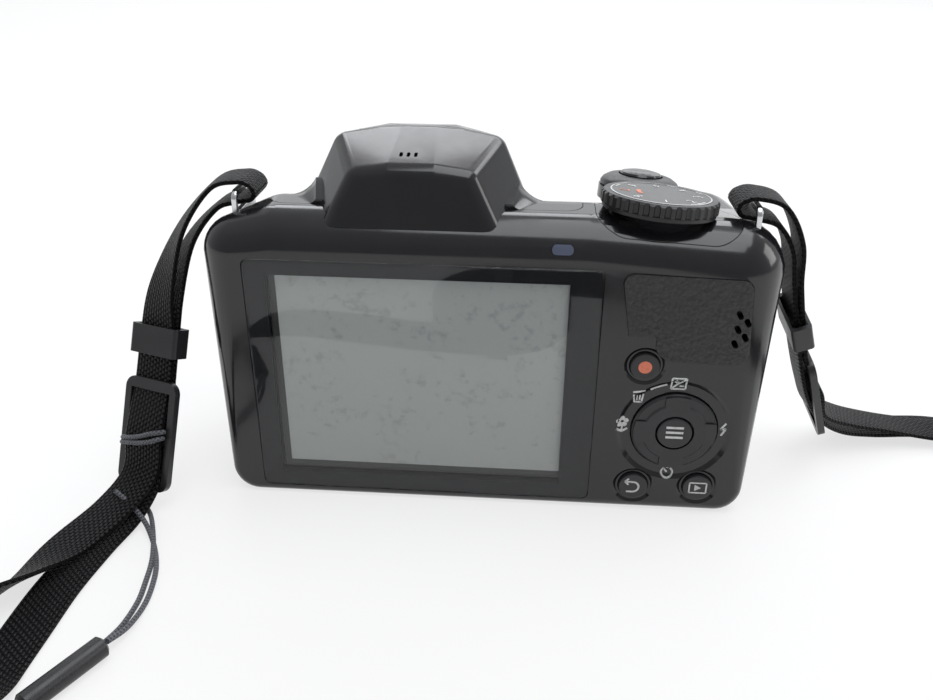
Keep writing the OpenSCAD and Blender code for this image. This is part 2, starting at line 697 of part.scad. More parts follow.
module rear_lens_cell() color("#1a1b1d") {
    turned_y(0, back_y, lens_z)
        polygon([[0, 17], [9, 17.6], [9, 16.6], [13, 16.6], [13, 21.6], [9, 21.6], [9, 20.4], [0, 21]]);
    turned_y(0, back_y, lens_z)
        polygon([[10, 12.3], [12.4, 12.3], [12.4, 16.7], [10, 16.7]]);
}
module sensor_plate() color("#3c5b46") {
    along_y(back_y + 9.2, back_y + 10.6) translate([0, lens_z]) rrect(34, 28, 2);
    along_y(back_y + 10.5, back_y + 11.8) translate([0, lens_z]) rrect(10, 8, 0.5);
    for (x = [-14, 14], z = [-11, 11])
        rod_y(x, lens_z + z, 1.4, back_y + 7, back_y + 9.3);
}
module focus_lamp() color("#c9562a")
    turned_y(37, front_y, 49)
        polygon([[0, 0.35], [1.6, 0.2], [2.45, -0.2], [2.45, -wall - 0.2], [3.4, -wall - 0.2],
            [3.4, -wall - 1.4], [0, -wall - 1.4]]);
module main_board() color("#1d5a3a") {
    along_y(back_y + 5.3, back_y + 6.8) translate([1.5, 31]) rrect(78, 52, 2);
    for (p = [[-25, 18, 9], [-26, 44, 7], [27, 42, 11], [28, 16, 8]])
        translate([p[0] - p[2] / 2, back_y + 6.7, p[1] - p[2] / 2]) cube([p[2], 1.3, p[2]]);
}
module battery_cells() color("#b8892f") {
    for (p = cell_at)
        translate([p[0], p[1], 4.4]) {
            cylinder(r = cell_r, h = 49.3);
            translate([0, 0, 49]) cylinder(r = 2.7, h = 1.3);
        }
}
module contact_plate() color("#c9ccd0") {
    for (p = cell_at)
        translate([p[0], p[1], 54.9]) cylinder(r = 4.4, h = 1);
    translate([0, 0, 54.9]) linear_extrude(1)
        polygon([cell_at[0] + [-2, 2], cell_at[1] + [2, 2], cell_at[2] + [2, -3], cell_at[2] + [-4, 0]]);
}
module battery_door() color("#1b1c1f") {
    difference() {
        intersection() {
            translate([0, 0, -1]) linear_extrude(2.8) door_plan(0.25);
            translate([30, 0, 0]) cube([60, 60, 10]);
            union() {
                translate([30, 0, 0.5]) cube([60, 60, 10]);
                translate([0, 0, -1]) linear_extrude(5) door_plan(1);
            }
        }
        translate([54, grip_front - 6, -0.5]) cube([8, 2.4, 1]);
    }
    rod_x(knuckle_x0 + 0.3, knuckle_x1 - 0.3, door_y, door_z, 1.2);
    translate([knuckle_x0 + 0.3, door_y - 0.8, 1.2]) cube([knuckle_x1 - knuckle_x0 - 0.6, 1.6, 1.2]);
    rod_x(knuckle_x0 - 2.1, knuckle_x1 + 2.9, door_y, door_z, 0.8);
}
module terminal_door() color("#1b1c1f") union() {
    difference() {
        intersection() {
            term_block(0.2);
            body_env(0);
        }
        body_env(1.4);
        translate([body_right - 6, back_y + 10.9, 19.5]) cube([10, 1.4, 5]);
    }
    intersection() {
        translate(term_at) rotate([0, side_lean, 0]) {
            cylinder(r = 0.85, h = 15.2, center = true);
            for (z = [-5, 5])
                translate([0, -1.2, z - 2]) cube([0.9, 1.6, 4]);
        }
        body_env(0.1);
    }
}
module terminal_block() color("#3a3b3e") difference() {
    translate([foot_right - 6.2, back_y + 12, 15.4]) cube([4.4, 7.2, 13.2]);
    translate([foot_right - 4.6, back_y + 13.6, 16.4]) cube([5, 3.2, 5]);
    translate([foot_right - 4.6, back_y + 13.6, 22.6]) cube([5, 4, 5]);
}
module speaker() color("#4a4b4e")
    turned_y(65.6, back_y, 45.6)
        polygon([[0, 3.9], [4.6, 3.9], [4.8, 4.1], [4.8, 6.4], [0, 6.8]]);
module flash_capacitor() color("#22304a")
    translate([-34.9, back_y + 11.7, 18])
        rotate_extrude() polygon([[0, 0], [4.3, 0], [4.6, 0.3], [4.6, 27.6], [4.2, 28], [0, 28]]);
module zoom_motor() color("#a7abb0") {
    rod_y(-29.5, lens_z + 19, 4, back_y + 12.3, back_y + 26.3);
    rod_y(-29.5, lens_z + 19, 1.3, back_y + 9.3, back_y + 12.4);
}
module tripod_bush() color("#b9bdc2") difference() {
    union() {
        cylinder(r = 6.5, h = 1.4);
        cylinder(r = 5.4, h = 6.6);
    }
    translate([0, 0, -1]) cylinder(r = 3.175, h = 6.6);
}
module cover_screws() color("#2a2b2e") {
    for (x = [-33, 33], y = [back_y + 9.8, back_y + 27])
        translate([x, y, 0]) {
            difference() {
                translate([0, 0, 0.25]) cylinder(r = 1.65, h = 1);
                translate([-1, -0.2, 0]) cube([2, 0.4, 0.7]);
                translate([-0.2, -1, 0]) cube([0.4, 2, 0.7]);
            }
            translate([0, 0, 1.2]) cylinder(r = 0.9, h = 4.6);
        }
}
module memory_card() color("#2f4a7a") {
    translate([46.4, back_y + 21.6, 7]) cube([24, 2.1, 32]);
    difference() {
        translate([45.6, back_y + 20.9, 16]) cube([25.6, 3.5, 24.6]);
        translate([46.25, back_y + 21.45, 10]) cube([24.3, 2.4, 29.2]);
    }
}

// Smooth route through hand-placed points, each a place followed by the width direction there
function catmull(a, b, c, d, t) =
    0.5 * (2 * b + (c - a) * t + (2 * a - 5 * b + 4 * c - d) * t * t + (3 * b - a - 3 * c + d) * t * t * t);
function route(p, n) = [for (i = [0:len(p) - 2], k = [0:n - 1])
    catmull(p[max(0, i - 1)], p[i], p[i + 1], p[min(len(p) - 1, i + 2)], k / n), p[len(p) - 1]];
function unit(v) = v / norm(v);
function place(q) = [q[0], q[1], q[2]];
function across(q) = [q[3], q[4], q[5]];
function heading(r, i) = unit(place(r[min(len(r) - 1, i + 1)]) - place(r[max(0, i - 1)]));
function side_of(r, i) = unit(across(r[i]) - (across(r[i]) * heading(r, i)) * heading(r, i));
function ring4(r, i, w, t) = let (s = side_of(r, i), n = cross(heading(r, i), s), c = place(r[i]))
    [c + s * w / 2 + n * t / 2, c - s * w / 2 + n * t / 2, c - s * w / 2 - n * t / 2,
        c + s * w / 2 - n * t / 2];
function ring8(r, i, d) = let (s = side_of(r, i), n = cross(heading(r, i), s), c = place(r[i]))
    [for (k = [0:7]) c + (s * cos(45 * k) + n * sin(45 * k)) * d / 2];
module skin(rings) {
    m = len(rings[0]);
    n = len(rings);
    polyhedron(points = [for (g = rings, v = g) v],
        faces = concat([[for (k = [0:m - 1]) k]], [[for (k = [m - 1:-1:0]) (n - 1) * m + k]],
            [for (i = [0:n - 2], k = [0:m - 1]) [i * m + k, (i + 1) * m + k, (i + 1) * m + (k + 1) % m]],
            [for (i = [0:n - 2], k = [0:m - 1]) [i * m + k, (i + 1) * m + (k + 1) % m,
                i * m + (k + 1) % m]]));
}
module tape(p, n) {
    r = route(p, n);
    skin([for (i = [0:len(r) - 1]) ring4(r, i, strap_w, strap_t)]);
}
module thread(p, n) {
    r = route(p, n);
    skin([for (i = [0:len(r) - 1]) ring8(r, i, cord_d)]);
}
left_route = [
    [-33.6, -5, 68.3, 0, -1, 0], [-34.6, -5, 66.9, 0, -1, 0], [-37.5, -5, 66.3, 0, -1, 0],
    [-42.5, -5.5, 64.6, 0.05, -1, 0], [-49, -7.5, 57.5, 0.35, -0.93, 0], [-54.2, -10.3, 46, 0.75, -0.65, 0],
    [-57, -13.2, 35, 0.92, -0.38, 0.05], [-58.3, -16.6, 25, 0.94, -0.33, 0.05],
    [-59.2, -20.8, 15, 0.94, -0.32, 0.05], [-60.4, -26, 6.6, 0.93, -0.35, 0.05],
    [-62.6, -33, 2, 0.92, -0.4, 0], [-65.5, -44, 0.7, 0.95, -0.3, 0], [-67, -56, 0.6, 0.99, -0.1, 0],
    [-67.2, -68, 0.6, 1, 0, 0], [-67, -80, 0.8, 1, 0.05, 0.05], [-63.5, -92.5, 3.2, 0.75, 0.4, 0.5],
    [-50, -100, 5, 0.1, 0.2, 1], [-32, -99, 5.1, 0, 0, 1], [-8, -94.6, 5.1, 0, 0, 1], [16, -93.2, 5.1,
        0, 0, 1]];
left_tail_route = [
    [-33.6, -5, 68.3, 0, -1, 0], [-34.7, -5, 69.9, 0, -1, 0], [-37.5, -5, 70.6, 0, -1, 0],
    [-43.5, -5.4, 68.8, 0.05, -1, 0], [-51, -7.9, 59.6, 0.35, -0.93, 0], [-55.8, -11.8, 46.9, 0.75,
        -0.65, 0],
    [-57.5, -14.4, 35.5, 0.92, -0.38, 0.05], [-58.7, -17.7, 26, 0.94, -0.33, 0.05],
    [-60, -23.5, 16.6, 0.94, -0.32, 0.05], [-60.9, -26.8, 8.3, 0.93, -0.35, 0.05],
    [-64.5, -34.5, 4.2, 0.9, -0.44, 0], [-69.5, -45, 2.4, 0.88, -0.46, 0], [-73, -56, 3.2, 0.8, -0.3, 0.5],
    [-77, -66, 4.7, 0.5, -0.2, 0.85], [-82, -75, 5.2, 0.2, -0.1, 1]];
right_route = [
    [65.9, -5, 67.9, 0, -1, 0], [67, -5, 66.5, 0, -1, 0], [70, -5, 65.9, 0, -1, 0],
    [74.8, -5, 64.4, 0, -1, 0], [78.4, -4.6, 59, 0, -1, 0], [80.2, -3.6, 50.5, 0.02, -1, 0.05],
    [83, -2, 40, 0.06, -0.98, -0.1], [86.4, 0.8, 29.6, 0.1, -0.94, -0.25], [90.2, 4.4, 20.4, 0.15,
        -0.93, -0.3],
    [95, 8.6, 12.2, 0.25, -0.93, -0.2], [102.4, 13.8, 5.4, 0.35, -0.93, -0.1], [112, 18.4, 1.6, 0.35,
        -0.94, 0],
    [123, 21, 0.7, 0.2, -0.98, 0], [133, 21.2, 0.6, -0.05, -1, 0], [143.5, 17, 0.6, -0.4, -0.9, 0],
    [151, 6, 1.2, -0.85, -0.5, 0.1], [154, -10, 3.6, -0.8, -0.2, 0.6], [153, -32, 5.1, 0, 0, 1],
    [145, -70, 5.1, 0, 0, 1], [124, -104, 5.1, 0, 0, 1], [92, -128, 5.1, 0, 0, 1], [54, -139, 5.1, 0, 0, 1],
    [16, -140.8, 5.1, 0, 0, 1]];
right_tail_route = [
    [65.9, -5, 67.9, 0, -1, 0], [66.9, -5, 69.4, 0, -1, 0], [70, -5, 70.1, 0, -1, 0],
    [75.8, -5, 68.2, 0, -1, 0], [80.2, -4.6, 60.6, 0, -1, 0], [81.7, -3.6, 50.9, 0.02, -1, 0.05],
    [84.3, -2, 40.5, 0.06, -0.98, -0.1], [87.6, 0.8, 30.6, 0.1, -0.94, -0.25], [93, 4.4, 22, 0.15,
        -0.93, -0.3],
    [96.1, 8.4, 13.4, 0.25, -0.93, -0.2], [104, 12.2, 8.4, 0.35, -0.93, -0.1], [114, 15, 5.2, 0.3,
        -0.95, 0],
    [125, 16.4, 3, 0.15, -0.98, 0], [136, 15.6, 2.4, -0.1, -0.98, 0], [146, 12, 2.6, -0.35, -0.9, 0]];
// Rolled-up middle of the strap: two arms of one spiral that meet in an S at the centre
roll_at = [16, -117];
roll_in = 7;
roll_pitch = 8;
roll_turns = 2.1;
function roll_arm(a, s) = let (r = roll_in + roll_pitch * a / 360, b = 90 - 360 * roll_turns + a + s)
    [roll_at[0] + r * cos(b), roll_at[1] + r * sin(b), 5.1, 0, 0, 1];
function roll_bow(k, s) = let (b = 90 - 360 * roll_turns + s, c = roll_in / 2)
    [roll_at[0] + c * cos(b) + c * cos(b - k), roll_at[1] + c * sin(b) + c * sin(b - k), 5.1, 0, 0, 1];
roll_arm_a = [for (k = [42:-1:0]) roll_arm(k * 18, 0)];
roll_arm_b = [for (k = [0:42]) roll_arm(k * 18, 180)];
roll_route = concat(roll_arm_a, [for (k = [1:5]) roll_bow(k * 30, 0)], [[roll_at[0], roll_at[1], 5.1,
    0, 0, 1]],
    [for (k = [5:-1:1]) roll_bow(k * 30, 180)], roll_arm_b);
module strap_left() color("#151516")
    tape(left_route, 4);
module strap_left_tail() color("#151516")
    tape(left_tail_route, 4);
module strap_right() color("#151516")
    tape(right_route, 4);
module strap_right_tail() color("#151516")
    tape(right_tail_route, 4);
module strap_roll() color("#151516")
    skin([for (i = [0:len(roll_route) - 1]) ring4(roll_route, i, strap_w, strap_t)]);
// Frame whose Y is the webbing's run, X its width and Z its outer face
module on_strap(p, w, t, out)
    multmatrix([[w[0], t[0], out[0], p[0]], [w[1], t[1], out[1], p[1]], [w[2], t[2], out[2], p[2]], [0,
        0, 0, 1]])
        children();
left_run = unit([-1.1, -3.8, -10]);
left_w = unit([0.93, -0.36, 0.035]);
left_out = unit(cross(left_run, left_w));
right_run = unit([3.6, 3.2, -9.8]);
right_w = unit([0.1, -0.95, -0.27]);
right_out = unit(cross(right_w, right_run));
module keeper_shape() difference() {
    linear_extrude(6.5, center = true) rrect(13, 4.6, 0.9);
    linear_extrude(9, center = true) square([10.8, 3.2], center = true);
}
module buckle_shape() difference() {
    linear_extrude(1.6, center = true) rrect(14.4, 25, 2.6);
    for (y = [-5.7, 5.7])
        translate([0, y]) linear_extrude(4, center = true) square([11, 8.6], center = true);
}
module strap_keepers() color("#17181a") {
    on_strap([-57.25, -13.8, 35.25], left_w, left_out, left_run) keeper_shape();
    on_strap([83.65, -2, 40.25], right_w, right_out, right_run) keeper_shape();
}
module strap_buckles() color("#17181a") {
    on_strap([-59.6, -22, 15.75], left_w, left_run, left_out) buckle_shape();
    on_strap([91.6, 4.4, 21.2], right_w, right_run, right_out) buckle_shape();
}
module strap_tie() color("#17181a")
    difference() {
        translate([roll_at[0] - 3, roll_at[1] - 26.2, 0]) cube([6, 52.4, 11.2]);
        translate([roll_at[0] - 5, roll_at[1] - 25.4, -1]) cube([10, 50.8, 11.4]);
    }
cord_route_a = [
    [-66, -29.4, 5.4, 0, 0, 1], [-63.6, -27.6, 2.2, 0.3, 0, 1], [-58.6, -30.5, 0.75, 0, 0, 1],
    [-54.6, -38, 0.6, 0, 0, 1], [-51.6, -46, 0.6, 0, 0, 1], [-50.2, -53, 0.6, 0, 0, 1],
    [-49.4, -59, 0.7, 0, 0, 1], [-49.6, -66, 1.2, 0, 0, 1], [-50.8, -71.6, 2, 0, 0, 1]];
cord_route_b = [
    [-64.9, -31.4, 6.4, 0, 0, 1], [-61.2, -33.2, 4.6, 0, 0, 1], [-57, -36, 1.9, 0, 0, 1],
    [-53, -41.6, 0.6, 0, 0, 1], [-50.1, -47.6, 0.6, 0, 0, 1], [-48.6, -53, 0.6, 0, 0, 1],
    [-47.8, -59.4, 0.7, 0, 0, 1], [-48.2, -66, 1.4, 0, 0, 1], [-49.8, -71, 2.5, 0, 0, 1]];
module cap_cord() color("#6b6e72") {
    thread(cord_route_a, 4);
    thread(cord_route_b, 4);
}
module cord_toggle() color("#1b1c1e")
    translate([-50.2, -71.6, 2.3]) rotate([0, 0, 242]) rotate([0, 90, 0])
        rotate_extrude() polygon([[0, 0], [1.5, 0], [2.1, 0.5], [2.1, 16], [1.6, 16.6], [0, 16.6]]);

rear_cover();
front_cover();
top_cover();
dial_deck();
thumb_pad();
grip_skin();
display_window();
display_panel();
chassis_plate();
indicator_lamp();
movie_button();
ok_button();
back_button();
play_button();
selector_ring();
selector_pivot();
button_board();
mode_dial();
dial_cap();
zoom_lever();
shutter_button();
power_button();
flash_housing();
flash_window();
flash_pin();
left_lug();
right_lug();
lens_ring();
lens_tube();
outer_barrel();
inner_barrel();
lens_bezel();
front_lens();
rear_lens_cell();
sensor_plate();
focus_lamp();
main_board();
battery_cells();
contact_plate();
battery_door();
terminal_door();
terminal_block();
speaker();
flash_capacitor();
zoom_motor();
tripod_bush();
cover_screws();
memory_card();
strap_left();
strap_left_tail();
strap_roll();
strap_right();
strap_right_tail();
strap_keepers();
strap_buckles();
strap_tie();
cap_cord();
cord_toggle();
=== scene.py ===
import bmesh
import bpy
import math
from mathutils import Matrix, Vector
from mathutils.bvhtree import BVHTree


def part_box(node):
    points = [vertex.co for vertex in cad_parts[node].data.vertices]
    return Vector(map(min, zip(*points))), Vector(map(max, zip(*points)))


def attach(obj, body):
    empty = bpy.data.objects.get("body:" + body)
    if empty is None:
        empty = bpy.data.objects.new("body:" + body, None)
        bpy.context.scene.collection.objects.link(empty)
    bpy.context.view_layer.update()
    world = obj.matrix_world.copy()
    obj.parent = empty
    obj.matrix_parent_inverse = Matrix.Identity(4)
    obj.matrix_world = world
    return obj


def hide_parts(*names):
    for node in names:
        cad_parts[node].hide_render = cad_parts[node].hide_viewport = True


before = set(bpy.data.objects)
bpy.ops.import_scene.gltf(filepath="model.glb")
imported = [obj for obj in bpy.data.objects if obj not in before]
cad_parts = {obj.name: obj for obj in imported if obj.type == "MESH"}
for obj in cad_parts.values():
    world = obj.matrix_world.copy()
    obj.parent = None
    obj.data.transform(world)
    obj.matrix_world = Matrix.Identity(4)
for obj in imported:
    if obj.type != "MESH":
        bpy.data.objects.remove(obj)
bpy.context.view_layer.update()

# Viewpoint: a little right of the lens axis, behind the camera and looking down on it by 27 degrees.
# The lens and the place come from the four corners of the 3.0-inch display in the photograph.
photo_lens = bpy.data.cameras.new("photo_view")
photo_lens.lens = 34.345
photo_lens.sensor_width = 36.0
photo_lens.clip_start = 0.005
photo_view = bpy.data.objects.new("photo_view", photo_lens)
bpy.context.scene.collection.objects.link(photo_view)
photo_view.matrix_world = Matrix((
    (0.99717, -0.03932, 0.06408, 0.02383),
    (0.07495, 0.45202, -0.88885, -0.18623),
    (0.00598, 0.89114, 0.45369, 0.12381),
    (0.0, 0.0, 0.0, 1.0)))
bpy.context.scene.camera = photo_view

# Neck strap: one nylon tape, 10 mm wide and 1 mm thick, woven in staggered beads with a firm selvedge.
# Each end goes through its lug and doubles back as a tail. The middle is rolled up and tied in front.
tape_thick = 1.0
left_run = [
    (-33.6, -5, 68.3, 0, -1, 0), (-34.6, -5, 66.9, 0, -1, 0), (-37.5, -5, 66.3, 0, -1, 0),
    (-42.5, -5.5, 64.6, 0.05, -1, 0), (-49, -7.5, 57.5, 0.35, -0.93, 0), (-54.2, -10.3, 46, 0.75, -0.65, 0),
    (-57, -13.2, 35, 0.92, -0.38, 0.05), (-58.3, -16.6, 25, 0.94, -0.33, 0.05),
    (-59.2, -20.8, 15, 0.94, -0.32, 0.05), (-60.4, -26, 6.6, 0.93, -0.35, 0.05),
    (-62.6, -33, 2, 0.92, -0.4, 0), (-65.5, -44, 0.7, 0.95, -0.3, 0), (-67, -56, 0.6, 0.99, -0.1, 0),
    (-67.2, -68, 0.6, 1, 0, 0), (-67, -80, 0.8, 1, 0.05, 0.05), (-63.5, -92.5, 3.2, 0.75, 0.4, 0.5),
    (-50, -100, 5, 0.1, 0.2, 1), (-32, -99, 5.1, 0, 0, 1), (-8, -94.6, 5.1, 0, 0, 1), (16, -93.2, 5.1, 0, 0, 1)]
left_tail = [
    (-33.6, -5, 68.3, 0, -1, 0), (-34.7, -5, 69.9, 0, -1, 0), (-37.5, -5, 70.6, 0, -1, 0),
    (-43.5, -5.4, 68.8, 0.05, -1, 0), (-51, -7.9, 59.6, 0.35, -0.93, 0), (-55.8, -11.8, 46.9, 0.75, -0.65, 0),
    (-57.5, -14.4, 35.5, 0.92, -0.38, 0.05), (-58.7, -17.7, 26, 0.94, -0.33, 0.05),
    (-60, -23.5, 16.6, 0.94, -0.32, 0.05), (-60.9, -26.8, 8.3, 0.93, -0.35, 0.05),
    (-64.5, -34.5, 4.2, 0.9, -0.44, 0), (-69.5, -45, 2.4, 0.88, -0.46, 0), (-73, -56, 3.2, 0.8, -0.3, 0.5),
    (-77, -66, 4.7, 0.5, -0.2, 0.85), (-82, -75, 5.2, 0.2, -0.1, 1)]
right_run = [
    (65.9, -5, 67.9, 0, -1, 0), (67, -5, 66.5, 0, -1, 0), (70, -5, 65.9, 0, -1, 0),
    (74.8, -5, 64.4, 0, -1, 0), (78.4, -4.6, 59, 0, -1, 0), (80.2, -3.6, 50.5, 0.02, -1, 0.05),
    (83, -2, 40, 0.06, -0.98, -0.1), (86.4, 0.8, 29.6, 0.1, -0.94, -0.25), (90.2, 4.4, 20.4, 0.15, -0.93, -0.3),
    (95, 8.6, 12.2, 0.25, -0.93, -0.2), (102.4, 13.8, 5.4, 0.35, -0.93, -0.1), (112, 18.4, 1.6, 0.35, -0.94, 0),
    (123, 21, 0.7, 0.2, -0.98, 0), (133, 21.2, 0.6, -0.05, -1, 0), (143.5, 17, 0.6, -0.4, -0.9, 0),
    (151, 6, 1.2, -0.85, -0.5, 0.1), (154, -10, 3.6, -0.8, -0.2, 0.6), (153, -32, 5.1, 0, 0, 1),
    (145, -70, 5.1, 0, 0, 1), (124, -104, 5.1, 0, 0, 1), (92, -128, 5.1, 0, 0, 1), (54, -139, 5.1, 0, 0, 1),
    (16, -140.8, 5.1, 0, 0, 1)]
right_tail = [
    (65.9, -5, 67.9, 0, -1, 0), (66.9, -5, 69.4, 0, -1, 0), (70, -5, 70.1, 0, -1, 0),
    (75.8, -5, 68.2, 0, -1, 0), (80.2, -4.6, 60.6, 0, -1, 0), (81.7, -3.6, 50.9, 0.02, -1, 0.05),
    (84.3, -2, 40.5, 0.06, -0.98, -0.1), (87.6, 0.8, 30.6, 0.1, -0.94, -0.25), (93, 4.4, 22, 0.15, -0.93, -0.3),
    (96.1, 8.4, 13.4, 0.25, -0.93, -0.2), (104, 12.2, 8.4, 0.35, -0.93, -0.1), (114, 15, 5.2, 0.3, -0.95, 0),
    (125, 16.4, 3, 0.15, -0.98, 0), (136, 15.6, 2.4, -0.1, -0.98, 0), (146, 12, 2.6, -0.35, -0.9, 0)]


def smooth_route(points, steps):
    """A smooth line through given points, each a place in mm and the way the width lies there."""
    marks = [Vector(p) for p in points]
    line = []
    for i in range(len(marks) - 1):
        a, b = marks[max(0, i - 1)], marks[i]
        c, d = marks[i + 1], marks[min(len(marks) - 1, i + 2)]
        for k in range(steps):
            t = k / steps
            line.append(0.5 * (2 * b + (c - a) * t + (2 * a - 5 * b + 4 * c - d) * t ** 2
                               + (3 * b - a - 3 * c + d) * t ** 3))
    line.append(marks[-1])
    return line


def stations(line):
    """A frame at each point of a line: X across the width, Y along the run and Z out of the face."""
    frames = []
    for i, q in enumerate(line):
        ahead = Vector(line[min(len(line) - 1, i + 1)][:3]) - Vector(line[max(0, i - 1)][:3])
        ahead.normalize()
        side = Vector(q[3:6])
        side = (side - side.dot(ahead) * ahead).normalized()
        turn = Matrix((side, ahead, ahead.cross(side))).transposed().to_4x4()
        turn.translation = Vector(q[:3]) / 1000
        frames.append(turn)
    return frames


def loft(name, frames, section):
    """A closed section, in mm, drawn along the frames, with its place along and across the run on each vertex."""
    bm = bmesh.new()
    along = bm.verts.layers.float.new("along")
    across = bm.verts.layers.float.new("across")
    ring = [bm.verts.new(frames[0] @ Vector((x / 1000, 0, z / 1000))) for x, z in section]
    for v, (x, z) in zip(ring, section):
        v[across] = x
    edges = [bm.edges.new((ring[k - 1], ring[k])) for k in range(len(ring))]
    run = 0.0
    for here, there in zip(frames, frames[1:]):
        grown = bmesh.ops.extrude_edge_only(bm, edges=edges)["geom"]
        ring = [g for g in grown if isinstance(g, bmesh.types.BMVert)]
        fresh = set(ring)
        edges = [g for g in grown if isinstance(g, bmesh.types.BMEdge) and set(g.verts) <= fresh]
        bmesh.ops.transform(bm, matrix=there @ here.inverted(), verts=ring)
        run += (there.translation - here.translation).length * 1000
        for v in ring:
            v[along] = run
    bmesh.ops.holes_fill(bm, edges=[e for e in bm.edges if e.is_boundary], sides=0)
    bmesh.ops.recalc_face_normals(bm, faces=bm.faces)
    for f in bm.faces:
        f.smooth = len(f.verts) == 4
    mesh = bpy.data.meshes.new(name)
    bm.to_mesh(mesh)
    bm.free()
    piece = bpy.data.objects.new(name, mesh)
    bpy.context.scene.collection.objects.link(piece)
    return piece, run / 1000


def patch(tree, kind, settings=None, **sockets):
    """One shader node with its settings, its constants and its links."""
    made = tree.nodes.new(kind)
    for key, value in (settings or {}).items():
        setattr(made, key, value)
    for key, value in sockets.items():
        slot = made.inputs[int(key[1:])] if key[1:].isdigit() else made.inputs[key.replace("_", " ")]
        if isinstance(value, bpy.types.NodeSocket):
            tree.links.new(value, slot)
        else:
            slot.default_value = value
    return made.outputs[0]


def maths(tree, operation, a, b=0.0):
    return patch(tree, "ShaderNodeMath", {"operation": operation}, i0=a, i1=b)


webbing = bpy.data.materials.new("black_webbing")
webbing.use_nodes = True
weave = webbing.node_tree
tape_shader = weave.nodes["Principled BSDF"]
run_mm = patch(weave, "ShaderNodeAttribute", {"attribute_name": "along"})
wide_mm = patch(weave, "ShaderNodeAttribute", {"attribute_name": "across"})
row = maths(weave, "MULTIPLY", run_mm.node.outputs["Fac"], 1 / 1.25)
column = maths(weave, "MULTIPLY", wide_mm.node.outputs["Fac"], 1 / 0.83)
stagger = maths(weave, "MULTIPLY", maths(weave, "FLOOR", column), 0.5)
bead_long = maths(weave, "ABSOLUTE", maths(weave, "SINE", maths(weave, "MULTIPLY", maths(weave, "ADD", row, stagger), math.pi)))
bead_wide = maths(weave, "ABSOLUTE", maths(weave, "SINE", maths(weave, "MULTIPLY", column, math.pi)))
bead = maths(weave, "POWER", maths(weave, "MULTIPLY", bead_long, bead_wide), 0.55)
tape_place = patch(weave, "ShaderNodeTexCoord").node.outputs["Object"]
fibre = patch(weave, "ShaderNodeTexNoise", Vector=tape_place, Scale=2600.0, Detail=3.0, Roughness=0.6)
# The base colour is lighter on the crowns of the beads and darkest between them, speckled by the fibre noise: painted
# highlight and painted shade.
painted_glint = maths(weave, "MULTIPLY", maths(weave, "POWER", bead, 3.0), fibre)
tape_ramp = patch(weave, "ShaderNodeValToRGB", Fac=painted_glint)
tape_ramp.node.color_ramp.elements[0].position = 0.05
tape_ramp.node.color_ramp.elements[0].color = (0.0025, 0.0025, 0.003, 1)
tape_ramp.node.color_ramp.elements[1].position = 0.62
tape_ramp.node.color_ramp.elements[1].color = (0.036, 0.035, 0.038, 1)
weave.links.new(tape_ramp, tape_shader.inputs["Base Color"])
relief = maths(weave, "ADD", bead, maths(weave, "MULTIPLY", fibre, 0.25))
tape_bump = patch(weave, "ShaderNodeBump", Height=relief, Strength=1.0, Distance=0.0006)
weave.links.new(tape_bump, tape_shader.inputs["Normal"])
tape_shader.inputs["Roughness"].default_value = 0.42
tape_shader.inputs["Specular IOR Level"].default_value = 0.12
tape_shader.inputs["Sheen Weight"].default_value = 0.02
tape_shader.inputs["Sheen Roughness"].default_value = 0.4

selvedge = [(-5.0, 0.0), (-4.86, 0.32), (-4.45, 0.5), (-2.2, 0.5), (0.0, 0.5), (2.2, 0.5), (4.45, 0.5), (4.86, 0.32),
            (5.0, 0.0), (4.86, -0.32), (4.45, -0.5), (2.2, -0.5), (0.0, -0.5), (-2.2, -0.5), (-4.45, -0.5), (-4.86, -0.32)]
roll_x, roll_y, roll_in, roll_pitch, roll_turns = 16.0, -117.0, 7.0, 8.0, 2.1


def roll_arm(turned, half_turn):
    r = roll_in + roll_pitch * turned / 360
    b = math.radians(90 - 360 * roll_turns + turned + half_turn)
    return roll_x + r * math.cos(b), roll_y + r * math.sin(b), 5.1, 0, 0, 1


def roll_bow(turned, half_turn):
    b = math.radians(90 - 360 * roll_turns + half_turn)
    c, t = roll_in / 2, math.radians(turned)
    return (roll_x + c * math.cos(b) + c * math.cos(b - t), roll_y + c * math.sin(b) + c * math.sin(b - t), 5.1, 0, 0, 1)


rolled = ([roll_arm(18 * k, 0) for k in range(42, -1, -1)] + [roll_bow(30 * k, 0) for k in range(1, 6)]
          + [(roll_x, roll_y, 5.1, 0, 0, 1)] + [roll_bow(30 * k, 180) for k in range(5, 0, -1)]
          + [roll_arm(18 * k, 180) for k in range(43)])
strap_pieces = {}
for name, points, steps, far_end, lay, node in [
        ("webbing_left", left_run, 8, "object", "loose", "strap_left"),
        ("webbing_left_tail", left_tail, 8, "bare", "loose", "strap_left_tail"),
        ("webbing_roll", rolled, 3, "object", "coiled", "strap_roll"),
        ("webbing_right", right_run, 8, "object", "loose", "strap_right"),
        ("webbing_right_tail", right_tail, 8, "bare", "loose", "strap_right_tail")]:
    tape_frames = stations(smooth_route(points, steps))
    tape, tape_length = loft(name, tape_frames, selvedge)
    tape.data.materials.append(webbing)
    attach(tape, "camera")
    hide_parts(node)
    strap_pieces[node] = tape

